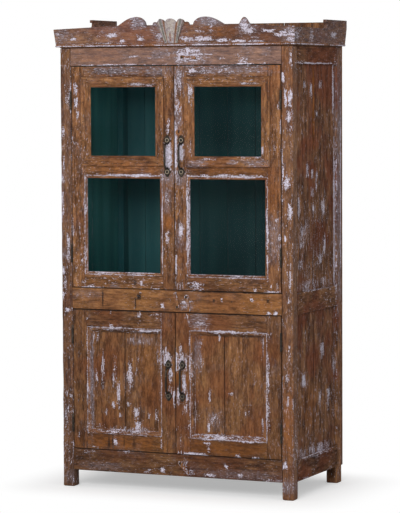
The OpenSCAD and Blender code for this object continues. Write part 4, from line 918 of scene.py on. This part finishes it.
# The bead's nose and its top edge are painted
BEAD_BANDS = ((BEAD_LO[2] + 0.0035, 0.0032, 0.16), (BEAD_HI[2], 0.0012, 0.12))
SIDE_LOOK = dict(paint=0.3, edge_paint=0.04, redness=1.0, grey=0.1, veil=0.08, hold=0.30, fineness=0.6,
                 blotch=1.45, gloss=0.03)
DOOR_LOOKS = {"upper_left": dict(blotch=1.3), "upper_right": dict(blotch=1.3),
              "lower_left": dict(redness=0.6, dust=0.25, blotch=1.3),
              "lower_right": dict(redness=0.6, dust=0.25, blotch=0.9)}

TOP_RAIL_WOOD = old_wood("worn_top_rail_wood", TOP_RAIL_WEAR, redness=0.1, grey=0.4, haze=0.1, veil=0.3,
                         dust=0.3, inside=0.0)
MID_RAIL_WOOD = old_wood("worn_mid_rail_wood", MID_RAIL_WEAR, redness=0.15, dust=0.3, inside=0.0)
BASE_WOOD = old_wood("worn_base_rail_wood", BASE_RAIL_WEAR, redness=0.5, grey=0.4, inside=0.0)
# The value of inside is the painted light on the teal of the inner faces: half on the front posts, full on
# the sides, none where it is 0
POST_WOOD = old_wood("worn_post_wood", POST_WEAR, paint=0.45, edge_paint=0.07, edge_width=0.007, haze=0.1,
                     inside=0.5)
SIDE_WOOD = old_wood("worn_side_wood", SIDE_WEAR, inside=1.0, **SIDE_LOOK)
# The rear posts: the side wood with no painted light on its teal, as their inner faces look forwards into the
# light
REAR_POST_WOOD = old_wood("worn_rear_post_wood", SIDE_WEAR, inside=0.0, **SIDE_LOOK)
INNER_WOOD = old_wood("plain_inner_wood", paint=0.1, inside=0.0)
CREST_WOOD = old_wood("worn_crest_wood", CREST_WEAR, paint=0.5, edge_paint=0.04, redness=0.6, grey=0.8,
                      haze=0.15, veil=0.12, gloss=0.06)
BACK_WOOD = old_wood("rough_back_wood", paint=0.1, edge_paint=0.02, grey=0.6, inside=0.0)
BEAD_WOOD = old_wood("painted_bead_wood", paint=0.35, edge_paint=0.0, grey=0.6, bands=BEAD_BANDS)
DOOR_WOOD = {door: old_wood("worn_%s_door_wood" % door, wear, **DOOR_LOOKS[door])
             for door, wear in DOOR_WEAR.items()}
MOULD_WOOD = {door: old_wood("painted_%s_moulding" % door, wear, paint=0.45, edge_paint=0.15,
                             edge_width=0.0028, ragged=0.003) for door, wear in DOOR_WEAR.items()}
BUTTON_WOOD = old_wood("painted_button_wood", paint=1.45, edge_paint=0.08, edge_width=0.003, grey=0.6)
TEAL_BOARD = teal_board()
IRON = old_iron("old_iron", IRON_DARK, 0.75, 0.7)
# Rims of rubbed iron, paler on the upper pulls: partly a painted highlight
RING_IRON = {"upper": old_iron("rubbed_iron", IRON_RUBBED, 0.35, 0.2),
             "lower": old_iron("dull_iron", IRON_DULL, 0.5, 0.3)}
# Screw heads of dark old iron, darkened further as painted shade of their recess
SUNK_IRON = old_iron("sunk_screw_iron", IRON_SUNK, 0.1, 0.3, chalk=0.1)
GLASS = window_glass()
SHELL_PAINT = shell_paint()

# Boards
AXES = [Vector((1, 0, 0)), Vector((0, 1, 0)), Vector((0, 0, 1))]
ROUND_STEPS = 3
STATION = 0.03
# Share of a board's width that its edge's radius may take, and of the radius that its ends are rounded by
WIDEST_RADIUS = 0.3
END_ROUND = 0.6
LEAST_RADIUS = 0.0004
MOST_WORN = 1.5
SLOW_WEAR, QUICK_WEAR = 9.0, 40.0
SEED_BETWEEN_BOARDS = 1.37
POSITION_LAYERS = ("board_lo", "board_hi", "grain_axis")
NUMBER_LAYERS = ("board_seed", "board_tint", "board_gold")


def seed_of(words):
    """The same small number for the same words on every run."""
    return sum((i + 1) * ord(c) for i, c in enumerate(words)) % 997 / 97.0


def ring(half_a, half_b, radius):
    """Points round a rounded rectangle."""
    points = []
    for turn, (sign_a, sign_b) in enumerate([(1, 1), (-1, 1), (-1, -1), (1, -1)]):
        for step in range(ROUND_STEPS + 1):
            angle = math.radians(90 * (turn + step / ROUND_STEPS))
            points.append((sign_a * (half_a - radius) + radius * math.cos(angle),
                           sign_b * (half_b - radius) + radius * math.sin(angle)))
    return points


def new_layers(bm):
    """The layers that tell the wood shader about each board."""
    layers = {name: bm.verts.layers.float_vector.new(name) for name in POSITION_LAYERS}
    layers.update({name: bm.verts.layers.float.new(name) for name in NUMBER_LAYERS})
    return layers


def mark_board(verts, layers, low, high, axis, seed, tint, gold):
    """Tells the wood of a board where its edges are, how its grain runs and how light it is."""
    values = {"board_lo": Vector(low), "board_hi": Vector(high), "grain_axis": AXES[axis],
              "board_seed": seed, "board_tint": tint, "board_gold": gold}
    for vert in verts:
        for name, value in values.items():
            vert[layers[name]] = value


def worn(radius, along, seed):
    """The radius of a board's edges at one place along it: worn away here, nearly sharp there."""
    slow = abs(noise.noise((along * SLOW_WEAR, seed, 0.0)))
    quick = noise.noise((along * QUICK_WEAR, seed, 3.0))
    wear = 0.55 + 0.9 * slow + 0.5 * quick
    return max(LEAST_RADIUS, min(radius * wear, radius * MOST_WORN))


def bridge(bm, loops):
    """Faces between each closed loop of vertices and the next."""
    for first, second in zip(loops, loops[1:]):
        for k in range(len(first)):
            j = (k + 1) % len(first)
            bm.faces.new((first[k], first[j], second[j], second[k]))


def add_board(bm, layers, low, high, seed, radius, axis, tint, gold):
    """One board with worn, rounded edges, filling the box from low to high."""
    size = [high[i] - low[i] for i in range(3)]
    a, b = [(axis + 1) % 3, (axis + 2) % 3]
    radius = min(radius, WIDEST_RADIUS * size[a], WIDEST_RADIUS * size[b])
    count = max(2, round(size[axis] / STATION))
    middle_a, middle_b = (low[a] + high[a]) / 2, (low[b] + high[b]) / 2
    rings = []
    for i in range(count + 3):
        along = low[axis] + size[axis] * min(max(i - 1, 0), count) / count
        along += {1: radius * END_ROUND, count + 1: -radius * END_ROUND}.get(i, 0.0)
        inset = radius * END_ROUND if i in (0, count + 2) else 0.0
        verts = []
        for u, v in ring(size[a] / 2 - inset, size[b] / 2 - inset, worn(radius, along, seed)):
            point = Vector((0, 0, 0))
            point[axis], point[a], point[b] = along, middle_a + u, middle_b + v
            verts.append(bm.verts.new(point))
        mark_board(verts, layers, low, high, axis, seed, tint, gold)
        rings.append(verts)
    bridge(bm, rings)
    bm.faces.new(list(reversed(rings[0])))
    bm.faces.new(rings[-1])


def mesh_of(name, bm, finish):
    """The mesh that finished mesh data makes, in one finish."""
    mesh = bpy.data.meshes.new(name)
    bm.to_mesh(mesh)
    bm.free()
    mesh.materials.append(finish)
    return mesh


def in_scene(name, data):
    """A new object of the scene."""
    thing = bpy.data.objects.new(name, data)
    bpy.context.scene.collection.objects.link(thing)
    return thing


def as_piece(name, bm, body, finish, replaced=()):
    """Turns finished mesh data into a piece that rides on a body of the frame."""
    bmesh.ops.recalc_face_normals(bm, faces=bm.faces)
    mesh = mesh_of(name, bm, finish)
    mesh.shade_smooth()
    piece = in_scene(name, mesh)
    normals = piece.modifiers.new("even_normals", "WEIGHTED_NORMAL")
    normals.weight = 100
    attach(piece, body)
    if replaced:
        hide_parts(*replaced)


def islands_of(bm):
    """The separate solids of a mesh as lists of vertices, ordered by their middles."""
    left, islands = set(bm.verts), []
    while left:
        stack, members = [left.pop()], []
        while stack:
            vert = stack.pop()
            members.append(vert)
            for edge in vert.link_edges:
                other = edge.other_vert(vert)
                if other in left:
                    left.discard(other)
                    stack.append(other)
        islands.append(members)
    islands.sort(key=lambda m: tuple(round(sum(v.co[i] for v in m) / len(m), 3) for i in range(3)))
    return islands


def copy_of(node):
    """An editable copy of a CAD node's mesh."""
    bm = bmesh.new()
    bm.from_mesh(frame["nodes"][node].data)
    bmesh.ops.remove_doubles(bm, verts=bm.verts, dist=1e-5)
    return bm


def box_of(places):
    """Low corner, high corner and longest axis of some points."""
    low = [min(p[i] for p in places) for i in range(3)]
    high = [max(p[i] for p in places) for i in range(3)]
    size = [high[i] - low[i] for i in range(3)]
    return low, high, size.index(max(size))


def looks(node, i, tints, golds):
    """Seed, tint and gold of a node's board number i. Tints and golds are one value or one for each board."""
    pick = [many[i % len(many)] if isinstance(many, tuple) else many for many in (tints, golds)]
    return (seed_of(node) + SEED_BETWEEN_BOARDS * i, *pick)


SLOT_OF = {sub["node"]: sub["material_slot"] for sub in frame["record"]["subparts"]}
BODY_OF = {node: body for body, nodes in frame["record"]["behaviour"]["bodies"].items() for node in nodes}


def boards(node, finish, radius=0.0022, tenon=0.0, tint=1.0, gold=0.2):
    """Worn boards in place of a CAD node's square ones. Tenons stay inside the posts or stiles."""
    source = copy_of(node)
    boxes = [box_of([v.co for v in members]) for members in islands_of(source)]
    source.free()
    bm = bmesh.new()
    layers = new_layers(bm)
    for i, (low, high, along) in enumerate(boxes):
        low[along] += tenon
        high[along] -= tenon
        seed, shade, warmth = looks(node, i, tint, gold)
        add_board(bm, layers, low, high, seed, radius, along, shade, warmth)
    as_piece(node + "_worn", bm, BODY_OF[node], finish, [node])


def shaped(node, finish, bevel=0.0012, axis=None, tint=1.0, gold=0.2):
    """A copy of a CAD node that isn't a plain board, with its edges softened."""
    bm = copy_of(node)
    bmesh.ops.dissolve_limit(bm, angle_limit=math.radians(2), verts=bm.verts, edges=bm.edges)
    layers = new_layers(bm)
    for i, members in enumerate(islands_of(bm)):
        low, high, along = box_of([v.co for v in members])
        mark_board(members, layers, low, high, along if axis is None else axis, *looks(node, i, tint, gold))
    sharp = [e for e in bm.edges if len(e.link_faces) == 2 and e.calc_face_angle() > math.radians(35)]
    bmesh.ops.bevel(bm, geom=sharp, offset=bevel, segments=2, profile=0.6, affect="EDGES", clamp_overlap=True)
    bmesh.ops.dissolve_degenerate(bm, dist=2e-5, edges=bm.edges)
    as_piece(node + "_worn", bm, BODY_OF[node], finish, [node])


def refinish(node, finish):
    """Gives a CAD node that is kept as it is its own finish."""
    mesh = frame["nodes"][node].data
    mesh.materials.clear()
    mesh.materials.append(finish)
    mesh.shade_smooth()


# The case
FRONT_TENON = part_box("front_top_rail")[1][0] - OPEN_HALF - 0.001

boards("post_front_left", POST_WOOD, 0.0065, tint=0.74)
boards("post_front_right", POST_WOOD, 0.0065, tint=0.92)
boards("post_rear_left", REAR_POST_WOOD, 0.004, tint=0.95)
boards("post_rear_right", REAR_POST_WOOD, 0.004, tint=1.02)
boards("front_top_rail", TOP_RAIL_WOOD, tenon=FRONT_TENON, tint=1.15, gold=0.35)
boards("front_mid_rail", MID_RAIL_WOOD, tenon=FRONT_TENON, tint=0.97, gold=0.75)
boards("front_base_rail", BASE_WOOD, tenon=FRONT_TENON, tint=0.60, gold=0.1)
for side in ("left", "right"):
    boards(side + "_side_rails", SIDE_WOOD, tenon=FRONT_TENON, tint=0.78)
boards("rear_rails", BACK_WOOD, tenon=FRONT_TENON, tint=0.8)
boards("door_stops", INNER_WOOD, 0.001, tint=0.6)
for panel in ("left_upper_panel", "left_lower_panel", "right_upper_panel", "right_lower_panel"):
    boards(panel, SIDE_WOOD, 0.001, tint=0.90, gold=0.1)
boards("back_planks", BACK_WOOD, 0.002, tint=(0.84, 0.78, 0.9, 0.8, 0.86))
boards("top_board", BACK_WOOD, 0.001, tint=0.8)
for board in ("middle_floor", "cabinet_floor", "upper_shelf", "lower_shelf"):
    boards(board, TEAL_BOARD, 0.001)
boards("shelf_cleats", INNER_WOOD, 0.001, tint=0.6)
shaped("crest_board", CREST_WOOD, gold=0.05)
for side in ("left", "right"):
    shaped(side + "_gallery_board", CREST_WOOD, tint=0.85, gold=0.0)
shaped("cornice_bead", BEAD_WOOD, 0.0006, gold=0.0)
shaped("crest_shell", SHELL_PAINT, 0.0004, axis=2)
for button in ("button_top", "button_mid_upper", "button_mid_lower", "button_base"):
    shaped(button, BUTTON_WOOD, 0.0016, tint=1.05, gold=0.3)

# The doors
DOOR_TENON = 0.033
# From the hinge side to the middle, and from the foot up
STILE_TINTS = {"upper": (0.97, 0.90), "lower": (0.72, 0.84)}
RAIL_TINTS = {"upper_left": (0.86, 0.94, 0.84), "upper_right": (0.76, 0.62, 0.88), "lower_left": (0.68, 0.70),
              "lower_right": (0.58, 0.84)}
RAIL_GOLDS = {"upper": (0.5, 0.6, 0.1), "lower": (0.9, 0.3)}
PANEL_TINTS = {"left": 0.82, "right": 0.93}

for side in ("left", "right"):
    for level in ("upper", "lower"):
        door = "%s_%s" % (level, side)
        stile_tints = STILE_TINTS[level] if side == "left" else STILE_TINTS[level][::-1]
        boards(door + "_stiles", DOOR_WOOD[door], 0.0022, tint=stile_tints, gold=0.3)
        boards(door + "_rails", DOOR_WOOD[door], 0.0018, tenon=DOOR_TENON, tint=RAIL_TINTS[door],
               gold=RAIL_GOLDS[level])
    shaped("upper_%s_pane_frame" % side, DOOR_WOOD["upper_" + side], 0.0008, tint=0.94, gold=0.35)
    shaped("upper_%s_beads" % side, MOULD_WOOD["upper_" + side], 0.0005, gold=0.1)
    shaped("lower_%s_moulding" % side, MOULD_WOOD["lower_" + side], 0.0004, gold=0.1)
    boards("lower_%s_panel" % side, DOOR_WOOD["lower_" + side], 0.001, tint=PANEL_TINTS[side], gold=0.35)

for node, slot in SLOT_OF.items():
    if slot == "old_iron":
        refinish(node, IRON)
    if slot == "clear_glass":
        refinish(node, GLASS)

# Nails, screws and the trim of the pulls
DOME_SEGMENTS = 12
DOME_RINGS = 3
# How far the foot of a head lies inside the wood or iron
HEAD_SUNK = 0.0004


def add_dome(bm, middle, radius, height):
    """A round head that faces forwards, with its foot just inside the wood."""
    rises = [math.radians(90) * i / DOME_RINGS for i in range(DOME_RINGS)]
    levels = [(radius, -HEAD_SUNK)] + [(radius * math.cos(t), height * math.sin(t)) for t in rises]
    turns = [math.tau * k / DOME_SEGMENTS for k in range(DOME_SEGMENTS)]
    loops = []
    for reach, out in levels:
        loops.append([bm.verts.new((middle[0] + reach * math.cos(t), middle[1] - out,
                                    middle[2] + reach * math.sin(t))) for t in turns])
    tip = bm.verts.new((middle[0], middle[1] - height, middle[2]))
    bridge(bm, loops)
    for k in range(DOME_SEGMENTS):
        bm.faces.new((loops[-1][k], loops[-1][(k + 1) % DOME_SEGMENTS], tip))
    bm.faces.new(loops[0])


def add_turned(bm, middle, outline, segments, petals=0, depth=0.0, hollow=False):
    """A turned form that faces forwards, from (reach, out) pairs: a solid, or a ring when hollow.
    Petals scallop it."""
    loops = []
    for reach, out in outline:
        loop = []
        for k in range(segments):
            t = math.tau * k / segments
            wave = 1.0 - depth * (1.0 - abs(math.sin(t * petals / 2.0))) if petals else 1.0
            loop.append(bm.verts.new((middle[0] + reach * wave * math.sin(t), middle[1] - out,
                                      middle[2] + reach * wave * math.cos(t))))
        loops.append(loop)
    bridge(bm, loops + loops[:1] if hollow else loops)
    if not hollow:
        bm.faces.new(loops[0])
        bm.faces.new(loops[-1])


# A flower of six petals that lies over the plate of a pull, and the rim round a sunk screw, pale as rubbed
# iron and a painted highlight
ROSETTE = dict(outline=[(0.0158, -0.0034), (0.0158, -0.0012), (0.0148, 0.0006), (0.0112, 0.0016),
                        (0.0072, 0.0004)], segments=48, petals=6, depth=0.24)
RIM = dict(outline=[(0.0088, 0.0001), (0.0088, 0.0013), (0.0082, 0.0019), (0.0070, 0.0019),
                    (0.0062, 0.0012), (0.0062, 0.0001)], segments=24, hollow=True)
SLOT_SHARE = 0.16
# Degrees from the slot of one screw to that of the next
SLOT_TURN = 47


def add_slotted_head(bm, middle, radius, height, angle):
    """Two half-discs with a slot between them, as on an old wood screw."""
    slot = radius * SLOT_SHARE
    turn = Matrix.Rotation(math.radians(angle), 3, "Y")
    start = math.asin(slot / radius)
    arc = [start + (math.pi - 2 * start) * k / DOME_SEGMENTS for k in range(DOME_SEGMENTS + 1)]
    for way in (1, -1):
        loops = []
        for out, reach in ((-HEAD_SUNK, radius), (height * 0.6, radius), (height, radius * 0.8)):
            places = [Vector((reach * math.cos(a), -out, way * max(slot, reach * math.sin(a)))) for a in arc]
            loops.append([bm.verts.new(Vector(middle) + turn @ p) for p in places])
        bridge(bm, loops)
        bm.faces.new(loops[0])
        bm.faces.new(loops[-1])


def heads(name, body, places, add, finish=IRON, **shape):
    """One piece that holds all the heads of a body. Slots are turned on from head to head."""
    bm = bmesh.new()
    for place in places:
        add(bm, place, **shape)
        if "angle" in shape:
            shape["angle"] += SLOT_TURN
    as_piece(name, bm, body, finish)


NAIL_INSET = 0.011
NAIL_SPREAD = (0.05, 0.27, 0.5, 0.73, 0.95)


def frame_nails(door):
    """Five nails along each strip of a planted frame, on its flat outer part."""
    low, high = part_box(door + "_pane_frame")
    left, right = low[0] + NAIL_INSET, high[0] - NAIL_INSET
    foot, top = low[2] + NAIL_INSET, high[2] - NAIL_INSET
    level = [(left + (right - left) * share, low[1], z) for share in NAIL_SPREAD for z in (foot, top)]
    upright = [(x, low[1], foot + (top - foot) * share) for share in NAIL_SPREAD for x in (left, right)]
    return level + upright


# Nail heads that the photograph shows on the mid rail, by pixel
MID_RAIL_NAILS = {"above the buttons": (213.8, 300.6), "beside it": (221.6, 300.5), "low one": (231.6, 302.0),
                  "fourth": (251.5, 300.2), "last": (267.9, 301.0)}
# From the middle of a pull to the middle of each plate, and the plates' height above the door
PLATE_SPAN, PLATE_FACE = 0.0645, 0.0035

heads("mid_rail_nails", "case", [on_plane(u, v, 1, FRONT_Y) for u, v in MID_RAIL_NAILS.values()], add_dome,
      radius=0.0024, height=0.0008)
for side in ("left", "right"):
    heads("upper_%s_frame_nails" % side, "upper_%s_door" % side, frame_nails("upper_" + side), add_dome,
          radius=0.0022, height=0.0007)
    for level in ("upper", "lower"):
        door = "%s_%s" % (level, side)
        pull_lo, pull_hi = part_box(door + "_handle")
        across, middle = ((pull_lo[i] + pull_hi[i]) / 2 for i in (0, 2))
        places = [(across, FRONT_Y - PLATE_FACE, middle + up * PLATE_SPAN) for up in (1, -1)]
        heads(door + "_pull_rosettes", door + "_door", places, add_turned, **ROSETTE)
        heads(door + "_pull_rings", door + "_door", places, add_turned, RING_IRON[level], **RIM)
        heads(door + "_pull_screws", door + "_door", places, add_slotted_head, SUNK_IRON,
              radius=0.0060, height=0.0009, angle=20)

# Floor, light and camera
FLOOR_SIZE = 30.0
FLOOR_LIFT = 0.42
# Distance from the case over which the floor runs out to white
FLOOR_FADE = (0.0, 0.32)


def floor_finish():
    """Pale studio floor that keeps the shadow near the cabinet and runs out to white."""
    finish, s = material("pale_studio_floor")
    place = s.vector("ABSOLUTE", s.add("NewGeometry").outputs["Position"])
    past = s.vector("SUBTRACT", place, (-POST_LO[0], -POST_LO[1], 0.0))
    away = s.vector("LENGTH", s.vector("MAXIMUM", past, (0.0, 0.0, 0.0)))
    camera = s.add("LightPath").outputs
    seen = s.most(camera["Is Camera Ray"], camera["Is Transmission Ray"])

    def mixed(share, first, second):
        return s.add("MixShader", {0: share, 1: first, 2: second}).outputs[0]

    matt = s.add("BsdfDiffuse", {"Color": FLOOR_GREY}).outputs[0]
    lift = s.add("Emission", {"Color": WHITE, "Strength": FLOOR_LIFT}).outputs[0]
    white = s.add("Emission", {"Color": WHITE, "Strength": 1.0}).outputs[0]
    near = s.add("AddShader", {0: matt, 1: lift}).outputs[0]
    faded = mixed(s.step(away, *FLOOR_FADE), near, white)
    s.end("Material", mixed(seen, matt, faded))
    return finish


bm = bmesh.new()
bmesh.ops.create_grid(bm, x_segments=1, y_segments=1, size=FLOOR_SIZE / 2)
studio_floor = in_scene("studio_floor", mesh_of("studio_floor", bm, floor_finish()))

# What the white world gives to surfaces, as a share of how it looks to the camera
WORLD_LIGHT = 0.40
world = bpy.data.worlds.new("studio")
bpy.context.scene.world = world
world.use_nodes = True
world.node_tree.nodes.clear()
sky = Shader(world.node_tree)
path = sky.add("LightPath").outputs
shown = sky.most(path["Is Camera Ray"], path["Is Glossy Ray"], path["Is Transmission Ray"])
strength = sky.add("MapRange", {"Value": shown, "To Min": WORLD_LIGHT, "To Max": 1.0}).outputs["Result"]
sky.end("World", sky.add("Background", {"Color": WHITE, "Strength": strength}).outputs[0])

# Place, target, width and height, and watts
SOFT_BOXES = {
    "key_soft_box": ((1.0, -5.8, 3.3), (0.0, 0.0, 1.0), (3.2, 2.4), 230),
    "side_soft_box": ((4.5, -1.5, 2.6), (0.0, 0.0, 0.9), (2.0, 2.0), 16),
}
FAR_CLIP = 100.0


def soft_box(name, place, target, size, watts):
    """A large soft lamp that faces its target."""
    light = bpy.data.lights.new(name, "AREA")
    light.shape = "RECTANGLE"
    light.size, light.size_y = size
    light.energy = watts
    lamp = in_scene(name, light)
    lamp.location = place
    lamp.rotation_euler = (Vector(target) - Vector(place)).to_track_quat("-Z", "Y").to_euler()


def photo_camera():
    """The camera that took the photograph."""
    data = bpy.data.cameras.new("photo_camera")
    data.sensor_width = SENSOR
    data.lens = FOCAL_PIXELS * SENSOR / max(PHOTO_SIZE)
    data.clip_end = FAR_CLIP
    camera = in_scene("photo_camera", data)
    camera.matrix_world = Matrix.Translation(CAMERA_PLACE) @ CAMERA_TURN.to_4x4()
    return camera


for name, setting in SOFT_BOXES.items():
    soft_box(name, *setting)
bpy.context.scene.camera = photo_camera()
bpy.context.scene.view_settings.view_transform = "Standard"
